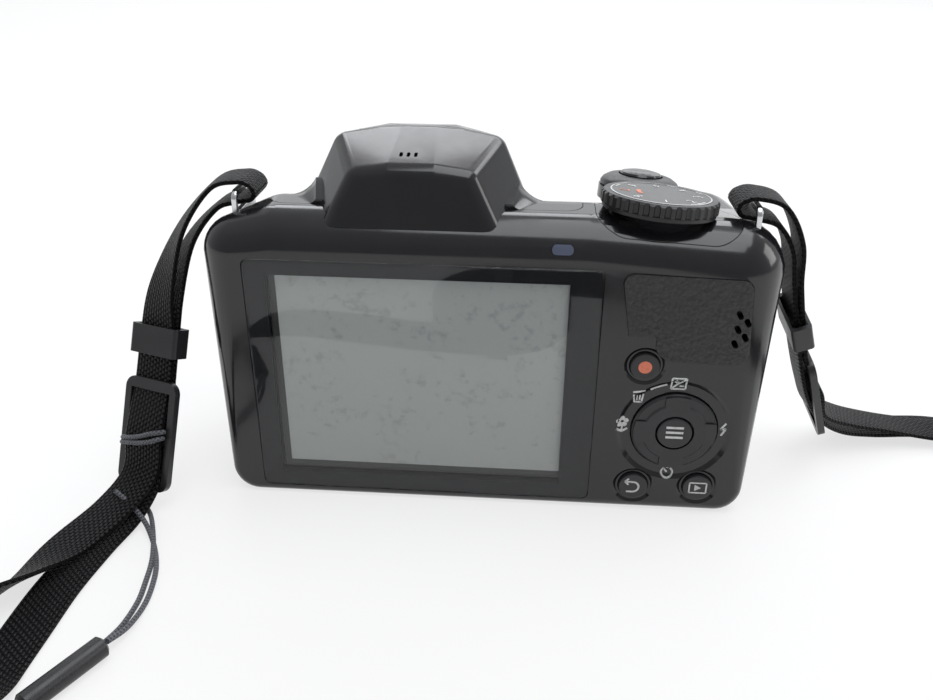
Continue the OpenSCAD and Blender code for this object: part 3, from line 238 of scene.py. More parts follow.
# Cap cord: a grey braided cord about 1.1 mm thick, hitched round the middle bar of the left buckle.
# Its two strands hang down under the webbing to a slim toggle, where the lens cap would hook on.
strand_a = [
    (-66, -29.4, 5.4, 0, 0, 1), (-63.6, -27.6, 2.2, 0.3, 0, 1), (-58.6, -30.5, 0.75, 0, 0, 1),
    (-54.6, -38, 0.6, 0, 0, 1), (-51.6, -46, 0.6, 0, 0, 1), (-50.2, -53, 0.6, 0, 0, 1),
    (-49.4, -59, 0.7, 0, 0, 1), (-49.6, -66, 1.2, 0, 0, 1), (-50.8, -71.6, 2, 0, 0, 1)]
strand_b = [
    (-64.9, -31.4, 6.4, 0, 0, 1), (-61.2, -33.2, 4.6, 0, 0, 1), (-57, -36, 1.9, 0, 0, 1),
    (-53, -41.6, 0.6, 0, 0, 1), (-50.1, -47.6, 0.6, 0, 0, 1), (-48.6, -53, 0.6, 0, 0, 1),
    (-47.8, -59.4, 0.7, 0, 0, 1), (-48.2, -66, 1.4, 0, 0, 1), (-49.8, -71, 2.5, 0, 0, 1)]
braid = bpy.data.materials.new("grey_braid")
braid.use_nodes = True
plait = braid.node_tree
cord_shader = plait.nodes["Principled BSDF"]
cord_run = patch(plait, "ShaderNodeAttribute", {"attribute_name": "along"}).node.outputs["Fac"]
cord_round = patch(plait, "ShaderNodeAttribute", {"attribute_name": "across"}).node.outputs["Fac"]
lay_one = maths(plait, "SINE", maths(plait, "MULTIPLY", maths(plait, "ADD", cord_run, cord_round), 2 * math.pi / 0.8))
lay_two = maths(plait, "SINE", maths(plait, "MULTIPLY", maths(plait, "SUBTRACT", cord_run, cord_round), 2 * math.pi / 0.8))
plaited = maths(plait, "MAXIMUM", lay_one, lay_two)
# The base colour follows the plait's relief: grey on the crowns of the strands and near black in the grooves between
# them, which is painted shade.
cord_ramp = patch(plait, "ShaderNodeValToRGB", Fac=maths(plait, "MULTIPLY", maths(plait, "ADD", plaited, 1.0), 0.5))
cord_ramp.node.color_ramp.elements[0].position = 0.3
cord_ramp.node.color_ramp.elements[0].color = (0.02, 0.021, 0.025, 1)
cord_ramp.node.color_ramp.elements[1].color = (0.11, 0.115, 0.13, 1)
plait.links.new(cord_ramp, cord_shader.inputs["Base Color"])
plait.links.new(patch(plait, "ShaderNodeBump", Height=plaited, Strength=0.6, Distance=0.00012), cord_shader.inputs["Normal"])
cord_shader.inputs["Roughness"].default_value = 0.6
cord_shader.inputs["Sheen Weight"].default_value = 0.2
cord_section = [(0.55 * math.cos(math.radians(36 * k)), 0.55 * math.sin(math.radians(36 * k))) for k in range(10)]
for name, points, far_end in [("cap_strand_a", strand_a, "fitting"), ("cap_strand_b", strand_b, "object")]:
    strand_frames = stations(smooth_route(points, 8))
    strand, strand_length = loft(name, strand_frames, cord_section)
    strand.data.materials.append(braid)
    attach(strand, "camera")
    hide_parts("cap_cord")

# Hitch of the cap cord: two turns of the same braid across the left buckle, over the webbing and round the middle bar.
# It is pulled tight, so it sits on the buckle and doesn't hang free.
bar_run = Vector((-1.1, -3.8, -10)).normalized()
bar_wide = Vector((0.93, -0.36, 0.035)).normalized()
bar_out = bar_run.cross(bar_wide).normalized()
for name, lift, turns in [
        ("cap_hitch_a", 0.0, [(5.3, -1.6, 1.0), (5.0, -1.5, 2.3), (3.0, -0.9, 2.95), (0.0, 0.3, 3.05), (-3.0, 1.1, 2.95),
                              (-5.1, 1.5, 2.4), (-5.4, 1.6, 1.0)]),
        ("cap_hitch_b", 0.1, [(5.3, -0.2, 1.0), (5.0, 0.0, 2.3), (3.0, 0.9, 2.95), (0.0, 1.7, 3.05), (-3.0, 2.2, 2.95),
                              (-5.1, 2.6, 2.4), (-5.4, 2.8, 1.0)])]:
    spots = [Vector((-59.6, -22, 15.75)) + bar_wide * x + bar_run * y + bar_out * (z + lift) for x, y, z in turns]
    hitch, hitch_length = loft(name, stations(smooth_route([(*q, *bar_run) for q in spots], 6)), cord_section)
    hitch.data.materials.append(braid)
    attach(hitch, "camera")
    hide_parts("cap_cord")

# Strap fittings: two closed keepers, two three-bar ladder buckles, the tie round the roll and the cord's toggle.
# All are small satin black mouldings, with their edges rounded by the mould.
def moulding(node, body, material, edge=0.0, steps=2, angle=30.0, name=None):
    """The CAD solid's own mesh as one skin, with its sharp edges broken as a mould leaves them."""
    bm = bmesh.new()
    bm.from_mesh(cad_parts[node].data)
    bmesh.ops.remove_doubles(bm, verts=bm.verts, dist=0.000004)
    bmesh.ops.dissolve_degenerate(bm, edges=bm.edges, dist=0.000002)
    bmesh.ops.dissolve_limit(bm, angle_limit=math.radians(0.3), verts=bm.verts, edges=bm.edges, delimit=set())
    if edge:
        sharp = [e for e in bm.edges if len(e.link_faces) == 2 and e.calc_face_angle() > math.radians(angle)]
        bmesh.ops.bevel(bm, geom=sharp, offset=edge / 1000, offset_type="OFFSET", segments=steps, profile=0.5,
                        affect="EDGES", clamp_overlap=True, material=-1)
    for f in bm.faces:
        f.smooth = True
    for e in bm.edges:
        e.smooth = len(e.link_faces) == 2 and e.calc_face_angle() < math.radians(angle if not edge else 50.0)
    mesh = bpy.data.meshes.new(name or node + "_skin")
    bm.to_mesh(mesh)
    bm.free()
    piece = bpy.data.objects.new(name or node + "_skin", mesh)
    bpy.context.scene.collection.objects.link(piece)
    mesh.materials.append(material)
    even = piece.modifiers.new("even_normals", "WEIGHTED_NORMAL")
    even.keep_sharp = True
    even.weight = 80
    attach(piece, body)
    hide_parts(node)
    return piece


def moulded_plastic(name, dark, light, gloss, dull, grain, depth):
    """Moulded plastic: two close tones, a roughness that wanders, and a fine grain of a set depth in mm."""
    made = bpy.data.materials.new(name)
    made.use_nodes = True
    tree = made.node_tree
    shader = tree.nodes["Principled BSDF"]
    place = patch(tree, "ShaderNodeTexCoord").node.outputs["Object"]
    cloud = patch(tree, "ShaderNodeTexNoise", Vector=place, Scale=90.0, Detail=4.0, Roughness=0.55)
    ramp = patch(tree, "ShaderNodeValToRGB", Fac=cloud)
    ramp.node.color_ramp.elements[0].position = 0.3
    ramp.node.color_ramp.elements[0].color = (*dark, 1)
    ramp.node.color_ramp.elements[1].position = 0.7
    ramp.node.color_ramp.elements[1].color = (*light, 1)
    tree.links.new(ramp, shader.inputs["Base Color"])
    wipe = patch(tree, "ShaderNodeTexNoise", Vector=place, Scale=160.0, Detail=5.0, Roughness=0.65, Distortion=0.6)
    rough = patch(tree, "ShaderNodeMapRange", Value=wipe, From_Min=0.3, From_Max=0.7, To_Min=gloss, To_Max=dull)
    tree.links.new(rough, shader.inputs["Roughness"])
    fine = patch(tree, "ShaderNodeTexNoise", Vector=place, Scale=grain, Detail=2.0, Roughness=0.5)
    tree.links.new(patch(tree, "ShaderNodeBump", Height=fine, Strength=1.0, Distance=depth / 1000), shader.inputs["Normal"])
    return made


fitting_black = moulded_plastic("satin_black_fitting", (0.012, 0.012, 0.013), (0.02, 0.02, 0.022), 0.28, 0.42, 2200.0, 0.012)
moulding("strap_keepers", "camera", fitting_black, 0.35)
moulding("strap_buckles", "camera", fitting_black, 0.3)
for node in ("strap_tie", "cord_toggle"):
    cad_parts[node].data.materials.clear()
    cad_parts[node].data.materials.append(fitting_black)

# Covers: the back, the front with its grip, the top plate with the hump, and the deck under the dials.
# They are gloss black mouldings that meet at fine seams and show their makers' soft gates as faint waves.
gloss_black = moulded_plastic("gloss_black_cover", (0.0075, 0.0075, 0.0088), (0.011, 0.011, 0.0125), 0.12, 0.2, 900.0, 0.003)
gloss_black.node_tree.nodes["Principled BSDF"].inputs["Coat Weight"].default_value = 0.12
gloss_black.node_tree.nodes["Principled BSDF"].inputs["Coat Roughness"].default_value = 0.06
moulding("rear_cover", "camera", gloss_black, 0.0)
moulding("front_cover", "camera", gloss_black, 0.0)
moulding("top_cover", "camera", gloss_black, 0.0)
moulding("dial_deck", "camera", gloss_black, 0.0)

# Rubber pads: a thumb rest on the back and a skin round the grip, bonded into shallow pockets.
# Their faces are pressed with a fine leather grain.
rubber = bpy.data.materials.new("grained_rubber")
rubber.use_nodes = True
hide = rubber.node_tree
rubber_shader = hide.nodes["Principled BSDF"]
hide_place = patch(hide, "ShaderNodeTexCoord").node.outputs["Object"]
warp = patch(hide, "ShaderNodeTexNoise", Vector=hide_place, Scale=700.0, Detail=2.0)
bent = patch(hide, "ShaderNodeVectorMath", {"operation": "MULTIPLY_ADD"}, i0=warp.node.outputs["Color"],
             i1=(0.0009, 0.0009, 0.0009), i2=hide_place)
pebble = patch(hide, "ShaderNodeTexVoronoi", {"feature": "SMOOTH_F1"}, Vector=bent, Scale=1000.0, Smoothness=0.6)
crease = patch(hide, "ShaderNodeTexNoise", Vector=bent, Scale=1500.0, Detail=3.0, Roughness=0.6)
skin_height = maths(hide, "ADD", maths(hide, "MULTIPLY", pebble.node.outputs["Distance"], -1.0), maths(hide, "MULTIPLY", crease, 0.9))
skin_ramp = patch(hide, "ShaderNodeValToRGB", Fac=crease)
skin_ramp.node.color_ramp.elements[0].position = 0.35
skin_ramp.node.color_ramp.elements[0].color = (0.012, 0.012, 0.0125, 1)
skin_ramp.node.color_ramp.elements[1].position = 0.7
skin_ramp.node.color_ramp.elements[1].color = (0.03, 0.03, 0.031, 1)
hide.links.new(skin_ramp, rubber_shader.inputs["Base Color"])
hide.links.new(patch(hide, "ShaderNodeBump", Height=skin_height, Strength=1.0, Distance=0.00035), rubber_shader.inputs["Normal"])
rubber_shader.inputs["Roughness"].default_value = 0.48
moulding("thumb_pad", "camera", rubber, 0.2)
moulding("grip_skin", "camera", rubber, 0.0)

# Display: a grey liquid-crystal panel behind a clear acrylic pane, with a broad black border printed on its back.
# The pane is bonded into the back cover, and its polished rim stands a little proud and catches the light.
back_y = -0.020
window_low, window_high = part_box("display_window")
window_mid = (window_low + window_high) / 2
pane_deep = 0.0005
open_low, open_high = Vector((-0.030, 0, 0.0059)), Vector((0.0327, 0, 0.0544))


def round_corners(bm, radius):
    upright = [e for e in bm.edges if abs(e.verts[0].co.y - e.verts[1].co.y) > 0.0002
               and (abs(e.verts[0].co.x - window_mid.x) > 0.033)]
    bmesh.ops.bevel(bm, geom=upright, offset=radius, offset_type="OFFSET", segments=6, profile=0.5, affect="EDGES", material=-1)


def window_part(name, bm, material):
    for f in bm.faces:
        f.smooth = True
    for e in bm.edges:
        e.smooth = len(e.link_faces) == 2 and e.calc_face_angle() < math.radians(40)
    mesh = bpy.data.meshes.new(name)
    bm.to_mesh(mesh)
    bm.free()
    piece = bpy.data.objects.new(name, mesh)
    bpy.context.scene.collection.objects.link(piece)
    mesh.materials.append(material)
    piece.modifiers.new("even_normals", "WEIGHTED_NORMAL").keep_sharp = True
    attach(piece, "camera")
    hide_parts("display_window")


screen_black = moulded_plastic("printed_black_border", (0.016, 0.016, 0.018), (0.021, 0.021, 0.023), 0.25, 0.4, 700.0, 0.0015)
bm = bmesh.new()
bmesh.ops.create_grid(bm, x_segments=1, y_segments=1, size=0.5, matrix=(
    Matrix.Translation((window_mid.x, window_low.y + pane_deep + 0.00002, window_mid.z))
    @ Matrix.Rotation(math.radians(90), 4, "X")
    @ Matrix.Diagonal((window_high.x - window_low.x, window_high.z - window_low.z, 1, 1))))
bmesh.ops.inset_region(bm, faces=list(bm.faces), thickness=0.004, use_boundary=True)
inner = min(bm.faces, key=lambda f: f.calc_area() if len({v for v in f.verts if v.is_boundary}) == 0 else 1)
for v in inner.verts:
    v.co.x = open_low.x if v.co.x < window_mid.x else open_high.x
    v.co.z = open_low.z if v.co.z < window_mid.z else open_high.z
bmesh.ops.delete(bm, geom=[inner], context="FACES_ONLY")
grown = bmesh.ops.extrude_face_region(bm, geom=list(bm.faces))["geom"]
bmesh.ops.translate(bm, vec=(0, window_high.y - window_low.y - pane_deep - 0.00002, 0),
                    verts=[g for g in grown if isinstance(g, bmesh.types.BMVert)])
bmesh.ops.recalc_face_normals(bm, faces=bm.faces)
round_corners(bm, 0.0015)
screen_black.node_tree.nodes["Principled BSDF"].inputs["Specular IOR Level"].default_value = 0.0
window_part("display_border", bm, screen_black)

clear = bpy.data.materials.new("clear_acrylic")
clear.use_nodes = True
pane_tree = clear.node_tree
pane_shader = pane_tree.nodes["Principled BSDF"]
pane_shader.inputs["Base Color"].default_value = (0.96, 0.97, 0.965, 1)
pane_shader.inputs["Transmission Weight"].default_value = 1.0
pane_shader.inputs["IOR"].default_value = 1.33
pane_place = patch(pane_tree, "ShaderNodeTexCoord").node.outputs["Object"]
smear = patch(pane_tree, "ShaderNodeTexNoise", Vector=pane_place, Scale=120.0, Detail=6.0, Roughness=0.7, Distortion=1.2)
pane_tree.links.new(patch(pane_tree, "ShaderNodeMapRange", Value=smear, From_Min=0.45, From_Max=0.75, To_Min=0.0, To_Max=0.06),
                    pane_shader.inputs["Roughness"])
ray = patch(pane_tree, "ShaderNodeLightPath").node.outputs
through = patch(pane_tree, "ShaderNodeBsdfTransparent", Color=(0.94, 0.95, 0.945, 1))
pane_mix = patch(pane_tree, "ShaderNodeMixShader", Fac=maths(pane_tree, "MAXIMUM", ray["Is Shadow Ray"], ray["Is Diffuse Ray"]))
pane_tree.links.new(pane_shader.outputs[0], pane_mix.node.inputs[1])
pane_tree.links.new(through, pane_mix.node.inputs[2])
pane_tree.links.new(pane_mix, pane_tree.nodes["Material Output"].inputs["Surface"])
bm = bmesh.new()
bmesh.ops.create_cube(bm, size=1.0, matrix=(
    Matrix.Translation((window_mid.x, window_low.y + pane_deep / 2, window_mid.z))
    @ Matrix.Diagonal((window_high.x - window_low.x, pane_deep, window_high.z - window_low.z, 1))))
round_corners(bm, 0.0015)
rim = [e for e in bm.edges if all(abs(v.co.y - window_low.y) < 1e-6 for v in e.verts)]
bmesh.ops.bevel(bm, geom=rim, offset=0.0003, offset_type="OFFSET", segments=3, profile=0.5, affect="EDGES", material=-1)
window_part("display_pane", bm, clear)

lit = bpy.data.materials.new("grey_display")
lit.use_nodes = True
panel_tree = lit.node_tree
panel_shader = panel_tree.nodes["Principled BSDF"]
panel_place = patch(panel_tree, "ShaderNodeTexCoord").node.outputs["Object"]
panel_xyz = patch(panel_tree, "ShaderNodeSeparateXYZ", Vector=panel_place).node.outputs
# The panel is near black outside x -28.2 to 32.8 mm and z 8.6 to 54.3 mm, a strip at the left and bottom of the
# border's opening: painted shade of the gap between the border and the recessed panel.
in_x = maths(panel_tree, "MULTIPLY", maths(panel_tree, "GREATER_THAN", panel_xyz["X"], -0.0282), maths(panel_tree, "LESS_THAN", panel_xyz["X"], 0.0328))
in_z = maths(panel_tree, "MULTIPLY", maths(panel_tree, "GREATER_THAN", panel_xyz["Z"], 0.0086), maths(panel_tree, "LESS_THAN", panel_xyz["Z"], 0.0543))
speck = patch(panel_tree, "ShaderNodeTexNoise", Vector=panel_place, Scale=420.0, Detail=5.0, Roughness=0.7)
dust = patch(panel_tree, "ShaderNodeTexNoise", Vector=panel_place, Scale=60.0, Detail=3.0, Roughness=0.6)
panel_ramp = patch(panel_tree, "ShaderNodeValToRGB", Fac=maths(panel_tree, "MULTIPLY", speck, maths(panel_tree, "ADD", dust, 0.5)))
panel_ramp.node.color_ramp.elements[0].position = 0.33
panel_ramp.node.color_ramp.elements[0].color = (0.31, 0.318, 0.31, 1)
panel_ramp.node.color_ramp.elements[1].position = 0.45
panel_ramp.node.color_ramp.elements[1].color = (0.39, 0.4, 0.392, 1)
panel_mix = patch(panel_tree, "ShaderNodeMix", {"data_type": "RGBA"}, Factor=maths(panel_tree, "MULTIPLY", in_x, in_z))
panel_mix.node.inputs["A"].default_value = (0.004, 0.004, 0.005, 1)
panel_tree.links.new(panel_ramp, panel_mix.node.inputs[7])
panel_tree.links.new(panel_mix.node.outputs[2], panel_shader.inputs["Base Color"])
panel_shader.inputs["Roughness"].default_value = 0.35
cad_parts["display_panel"].data.materials.clear()
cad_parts["display_panel"].data.materials.append(lit)

# Buttons of the back: movie, four-way selector with its middle button, and two round ones below.
# They are satin black caps that stand a little out of their wells.
satin_black = moulded_plastic("satin_black_button", (0.014, 0.014, 0.0155), (0.02, 0.02, 0.022), 0.3, 0.42, 2600.0, 0.008)
for node, body in [("movie_button", "movie_key"), ("ok_button", "ok_key"), ("back_button", "back_key"),
                   ("play_button", "play_key")]:
    moulding(node, body, satin_black, 0.0, angle=40)
moulding("selector_ring", "pad", satin_black, 0.0, angle=25)

# Printed marks: white pictograms on the back and on the button caps, and an orange dot on the movie button.
# They are a thin coat of ink that follows the surface below it.
def ink(name, colour, worn):
    made = bpy.data.materials.new(name)
    made.use_nodes = True
    tree = made.node_tree
    shader = tree.nodes["Principled BSDF"]
    place = patch(tree, "ShaderNodeTexCoord").node.outputs["Object"]
    rub = patch(tree, "ShaderNodeTexNoise", Vector=place, Scale=1800.0, Detail=3.0, Roughness=0.6)
    ramp = patch(tree, "ShaderNodeValToRGB", Fac=rub)
    ramp.node.color_ramp.elements[0].position = 0.25
    ramp.node.color_ramp.elements[0].color = (*worn, 1)
    ramp.node.color_ramp.elements[1].position = 0.55
    ramp.node.color_ramp.elements[1].color = (*colour, 1)
    tree.links.new(ramp, shader.inputs["Base Color"])
    shader.inputs["Roughness"].default_value = 0.45
    return made


white_ink = ink("white_ink", (0.66, 0.66, 0.65), (0.42, 0.42, 0.41))
orange_ink = ink("orange_ink", (0.72, 0.2, 0.11), (0.6, 0.15, 0.08))


def bar(bm, a, b, width):
    """A straight stroke between two points of the face, in mm."""
    a, b = Vector((*a, 0)), Vector((*b, 0))
    ahead = (b - a).normalized()
    turn = Matrix((ahead, Vector((-ahead.y, ahead.x, 0)), Vector((0, 0, 1)))).transposed().to_4x4()
    turn.translation = (a + b) / 2
    pieces = max(1, round((b - a).length / 0.45))
    bmesh.ops.create_grid(bm, x_segments=pieces, y_segments=1, size=0.5,
                          matrix=turn @ Matrix.Diagonal(((b - a).length, width, 1, 1)))


def arc(bm, x, z, r, start, end, width):
    """A round stroke, as short straight ones that overlap a little."""
    n = max(3, round(abs(end - start) / 20))
    spots = [(x + r * math.cos(math.radians(start + (end - start) * k / n)),
              z + r * math.sin(math.radians(start + (end - start) * k / n))) for k in range(n + 1)]
    for p, q in zip(spots, spots[1:]):
        bar(bm, p, q, width)


def disc(bm, x, z, r):
    bmesh.ops.create_circle(bm, cap_ends=True, radius=r, segments=28, matrix=Matrix.Translation((x, z, 0)))


def printed(name, bm, face, onto, body, material):
    """Lays the flat strokes on a CAD solid, looking straight down on the face, and gives the ink its thickness."""
    bmesh.ops.transform(bm, matrix=face @ Matrix.Diagonal((0.001, 0.001, 0.001, 1)), verts=bm.verts)
    down = -(face.to_3x3() @ Vector((0, 0, 1)))
    solid = BVHTree.FromPolygons([v.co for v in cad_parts[onto].data.vertices],
                                 [tuple(p.vertices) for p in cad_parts[onto].data.polygons])
    for v in bm.verts:
        hit = solid.ray_cast(v.co - down * 0.01, down)[0]
        if hit is not None:
            v.co = hit - down * 0.00002
    bmesh.ops.recalc_face_normals(bm, faces=bm.faces)
    for f in bm.faces:
        if f.normal.dot(down) > 0:
            f.normal_flip()
    bmesh.ops.solidify(bm, geom=list(bm.faces), thickness=-0.00002)
    mesh = bpy.data.meshes.new(name)
    bm.to_mesh(mesh)
    bm.free()
    piece = bpy.data.objects.new(name, mesh)
    bpy.context.scene.collection.objects.link(piece)
    mesh.materials.append(material)
    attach(piece, body)
    return piece


back_face = Matrix(((1, 0, 0, 0), (0, 0, -1, back_y), (0, 1, 0, 0), (0, 0, 0, 1)))
bm = bmesh.new()
bar(bm, (47.3, 30.5), (49.9, 30.9), 0.42)
bar(bm, (47.5, 29.9), (47.8, 27.8), 0.36)
bar(bm, (49.6, 29.9), (49.3, 27.8), 0.36)
bar(bm, (47.7, 27.9), (49.4, 27.9), 0.36)
bar(bm, (48.3, 29.7), (48.3, 28.3), 0.28)
bar(bm, (48.9, 29.7), (48.9, 28.3), 0.28)
arc(bm, 56.9, 21.2, 11.5, 121, 103, 0.5)
for a, b in [((55.2, 31.4), (58.2, 31.4)), ((58.2, 31.4), (58.2, 34.2)), ((58.2, 34.2), (55.2, 34.2)), ((55.2, 34.2), (55.2, 31.4)),
             ((55.4, 31.6), (58.0, 34.0))]:
    bar(bm, a, b, 0.36)
bar(bm, (55.7, 33.3), (56.7, 33.3), 0.3)
bar(bm, (56.2, 32.8), (56.2, 33.8), 0.3)
bar(bm, (56.9, 32.1), (57.8, 32.1), 0.3)
for k in range(5):
    disc(bm, 45.7 + 0.85 * math.cos(math.radians(90 + 72 * k)), 22.9 + 0.85 * math.sin(math.radians(90 + 72 * k)), 0.55)
bar(bm, (45.7, 22.2), (45.7, 20.2), 0.4)
bar(bm, (45.7, 20.4), (44.5, 21.2), 0.5)
bar(bm, (45.7, 20.4), (46.9, 21.2), 0.5)
bar(bm, (67.8, 23.4), (66.8, 21.9), 0.45)
bar(bm, (66.8, 21.9), (67.9, 22.0), 0.4)
bar(bm, (67.9, 22.0), (67.0, 20.3), 0.45)
arc(bm, 56.5, 10.3, 1.25, 60, -235, 0.42)
bar(bm, (56.5, 10.3), (55.8, 11.2), 0.4)
disc(bm, 56.6, 11.6, 0.28)
printed("back_pictograms", bm, back_face, "rear_cover", "camera", white_ink)
bm = bmesh.new()
for z in (22.7, 21.5, 20.3):
    bar(bm, (55.0, z), (58.7, z), 0.55)
printed("menu_mark", bm, back_face, "ok_button", "ok_key", white_ink)
bm = bmesh.new()
arc(bm, 49.3, 6.6, 1.3, -90, 110, 0.45)
bar(bm, (49.3, 5.3), (47.9, 5.3), 0.45)
bar(bm, (49.0, 7.9), (47.6, 7.9), 0.45)
bar(bm, (47.5, 7.9), (48.3, 8.7), 0.4)
bar(bm, (47.5, 7.9), (48.3, 7.1), 0.4)
printed("return_mark", bm, back_face, "back_button", "back_key", white_ink)
bm = bmesh.new()
for a, b in [((61.7, 5.8), (65.4, 5.8)), ((65.4, 5.8), (65.4, 8.4)), ((65.4, 8.4), (61.7, 8.4)), ((61.7, 8.4), (61.7, 5.8))]:
    bar(bm, a, b, 0.34)
for k in range(6):
    bar(bm, (62.95 + 0.22 * k, 7.1 - 0.75 + 0.125 * k), (62.95 + 0.22 * k, 7.1 + 0.75 - 0.125 * k), 0.24)
printed("play_mark", bm, back_face, "play_button", "play_key", white_ink)
bm = bmesh.new()
disc(bm, 49.2, 36.75, 1.42)
printed("movie_dot", bm, back_face, "movie_button", "movie_key", orange_ink)

# Mode dial: a knurled black wheel on a post through the deck, with a printed cap under a bright line.
# The numbers and strokes stand for the shooting modes.
dial_black = moulded_plastic("dial_black", (0.011, 0.011, 0.012), (0.017, 0.017, 0.018), 0.3, 0.42, 2400.0, 0.008)
cap_black = moulded_plastic("dial_cap_black", (0.02, 0.02, 0.021), (0.03, 0.03, 0.031), 0.2, 0.3, 1500.0, 0.004)
moulding("mode_dial", "dial", dial_black, 0.0)
moulding("dial_cap", "dial", cap_black, 0.0)
dial_face = (Matrix.Translation((0.0505, -0.0075, 0.0701)) @ Matrix.Rotation(math.radians(4.4), 4, "Y")
             @ Matrix.Rotation(math.radians(-5.3), 4, "X"))
bright = moulded_plastic("bright_steel", (0.62, 0.63, 0.64), (0.72, 0.73, 0.74), 0.16, 0.3, 3000.0, 0.004)
bright.node_tree.nodes["Principled BSDF"].inputs["Metallic"].default_value = 1.0
bm = bmesh.new()
for x, z in ((10.02, 0.03), (10.31, 0.03), (10.31, 0.1), (10.02, 0.12)):
    bm.verts.new((x / 1000, 0, z / 1000))
bm.verts.ensure_lookup_table()
loop = [bm.edges.new((bm.verts[k - 1], bm.verts[k])) for k in range(4)]
bmesh.ops.spin(bm, geom=list(bm.verts) + loop, cent=(0, 0, 0), axis=(0, 0, 1), angle=2 * math.pi, steps=96, use_merge=True)
bmesh.ops.remove_doubles(bm, verts=bm.verts, dist=1e-7)
bmesh.ops.recalc_face_normals(bm, faces=bm.faces)
bmesh.ops.transform(bm, matrix=dial_face, verts=bm.verts)
line_mesh = bpy.data.meshes.new("dial_line")
bm.to_mesh(line_mesh)
bm.free()
dial_line = bpy.data.objects.new("dial_line", line_mesh)
bpy.context.scene.collection.objects.link(dial_line)
line_mesh.materials.append(bright)
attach(dial_line, "dial")
white_marks, orange_marks = bmesh.new(), bmesh.new()
for k, digit in enumerate("12345678"):
    letters = bpy.data.curves.new("dial_number", "FONT")
    letters.body = digit
    letters.align_x = "CENTER"
    letters.align_y = "CENTER"
    letters.size = 3.0
    number = bpy.data.objects.new("dial_number", letters)
    bpy.context.scene.collection.objects.link(number)
    flat = bpy.data.meshes.new_from_object(number.evaluated_get(bpy.context.evaluated_depsgraph_get()))
    turned = math.radians(-90 + 45 * k)
    flat.transform(Matrix.Translation((7.6 * math.cos(turned), 7.6 * math.sin(turned), 0)) @ Matrix.Rotation(turned + math.pi / 2, 4, "Z"))
    (orange_marks if k == 6 else white_marks).from_mesh(flat)
    bpy.data.objects.remove(number)
    bpy.data.meshes.remove(flat)
for a, b in [(-60, -32), (20, 34), (60, 75), (145, 160)]:
    arc(white_marks, 0, 0, 9.5, a, b, 0.35)
arc(orange_marks, 0, 0, 4.6, 160, 205, 0.9)
for marks, name, colour in [(white_marks, "dial_numbers", white_ink), (orange_marks, "dial_orange_marks", orange_ink)]:
    bmesh.ops.remove_doubles(marks, verts=marks.verts, dist=0.0001)
    printed(name, marks, dial_face, "dial_cap", "dial", colour)

# Shutter button, the zoom lever round it, and the power button: caps in the deck over the grip, the shutter gloss black
# and the others satin black.
# The lever turns on a collar of the deck and has a low finger tab in front.
moulding("zoom_lever", "zoom_ring", satin_black, 0.0)
moulding("shutter_button", "shutter", gloss_black, 0.0)
moulding("power_button", "power", satin_black, 0.0)

# Pop-up flash: the front of the hump, hinged on a steel pin, with a ribbed clear window under its lip.
# Its lid is the same gloss black as the covers.
moulding("flash_housing", "flash", gloss_black, 0.0)
ribbed = bpy.data.materials.new("ribbed_clear")
ribbed.use_nodes = True
rib_tree = ribbed.node_tree
rib_shader = rib_tree.nodes["Principled BSDF"]
rib_place = patch(rib_tree, "ShaderNodeTexCoord").node.outputs["Object"]
ribs = patch(rib_tree, "ShaderNodeTexWave", {"bands_direction": "X"}, Vector=rib_place, Scale=220.0, Distortion=0.0)
rib_tree.links.new(patch(rib_tree, "ShaderNodeBump", Height=ribs.node.outputs["Fac"], Strength=0.8, Distance=0.0004), rib_shader.inputs["Normal"])
rib_shader.inputs["Base Color"].default_value = (0.82, 0.85, 0.88, 1)
rib_shader.inputs["Transmission Weight"].default_value = 0.6
rib_shader.inputs["Roughness"].default_value = 0.12
moulding("flash_window", "flash", ribbed, 0.15)
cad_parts["flash_pin"].data.materials.clear()
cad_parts["flash_pin"].data.materials.append(bright)

# Strap lugs: two bent steel loops in the seam of the covers, in bright steel.
moulding("left_lug", "camera", bright, 0.25)
moulding("right_lug", "camera", bright, 0.25)

# Lens: a fixed ring, two barrels that run out of it, a front bezel and a coated front glass.
# The barrels are satin black mouldings, turned true, and the inner pieces get the same satin black.
barrel_black = moulded_plastic("barrel_black", (0.010, 0.010, 0.011), (0.016, 0.016, 0.017), 0.3, 0.4, 2000.0, 0.006)
moulding("lens_ring", "camera", barrel_black, 0.2)
moulding("outer_barrel", "barrel_one", barrel_black, 0.15)
moulding("inner_barrel", "barrel_two", barrel_black, 0.15)
moulding("lens_bezel", "barrel_two", barrel_black, 0.1)
coated = bpy.data.materials.new("coated_glass")
coated.use_nodes = True
glass_tree = coated.node_tree
glass_shader = glass_tree.nodes["Principled BSDF"]
glass_place = patch(glass_tree, "ShaderNodeTexCoord").node.outputs["Object"]
haze = patch(glass_tree, "ShaderNodeTexNoise", Vector=glass_place, Scale=150.0, Detail=4.0)
haze_ramp = patch(glass_tree, "ShaderNodeValToRGB", Fac=haze)
haze_ramp.node.color_ramp.elements[0].color = (0.02, 0.024, 0.05, 1)
haze_ramp.node.color_ramp.elements[1].color = (0.045, 0.03, 0.06, 1)
glass_tree.links.new(haze_ramp, glass_shader.inputs["Base Color"])
glass_shader.inputs["Roughness"].default_value = 0.03
glass_shader.inputs["Coat Weight"].default_value = 1.0
glass_shader.inputs["Coat Tint"].default_value = (0.7, 0.8, 1.0, 1)
moulding("front_lens", "barrel_two", coated, 0.0)
for node in ("lens_tube", "rear_lens_cell"):
    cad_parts[node].data.materials.clear()
    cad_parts[node].data.materials.append(barrel_black)

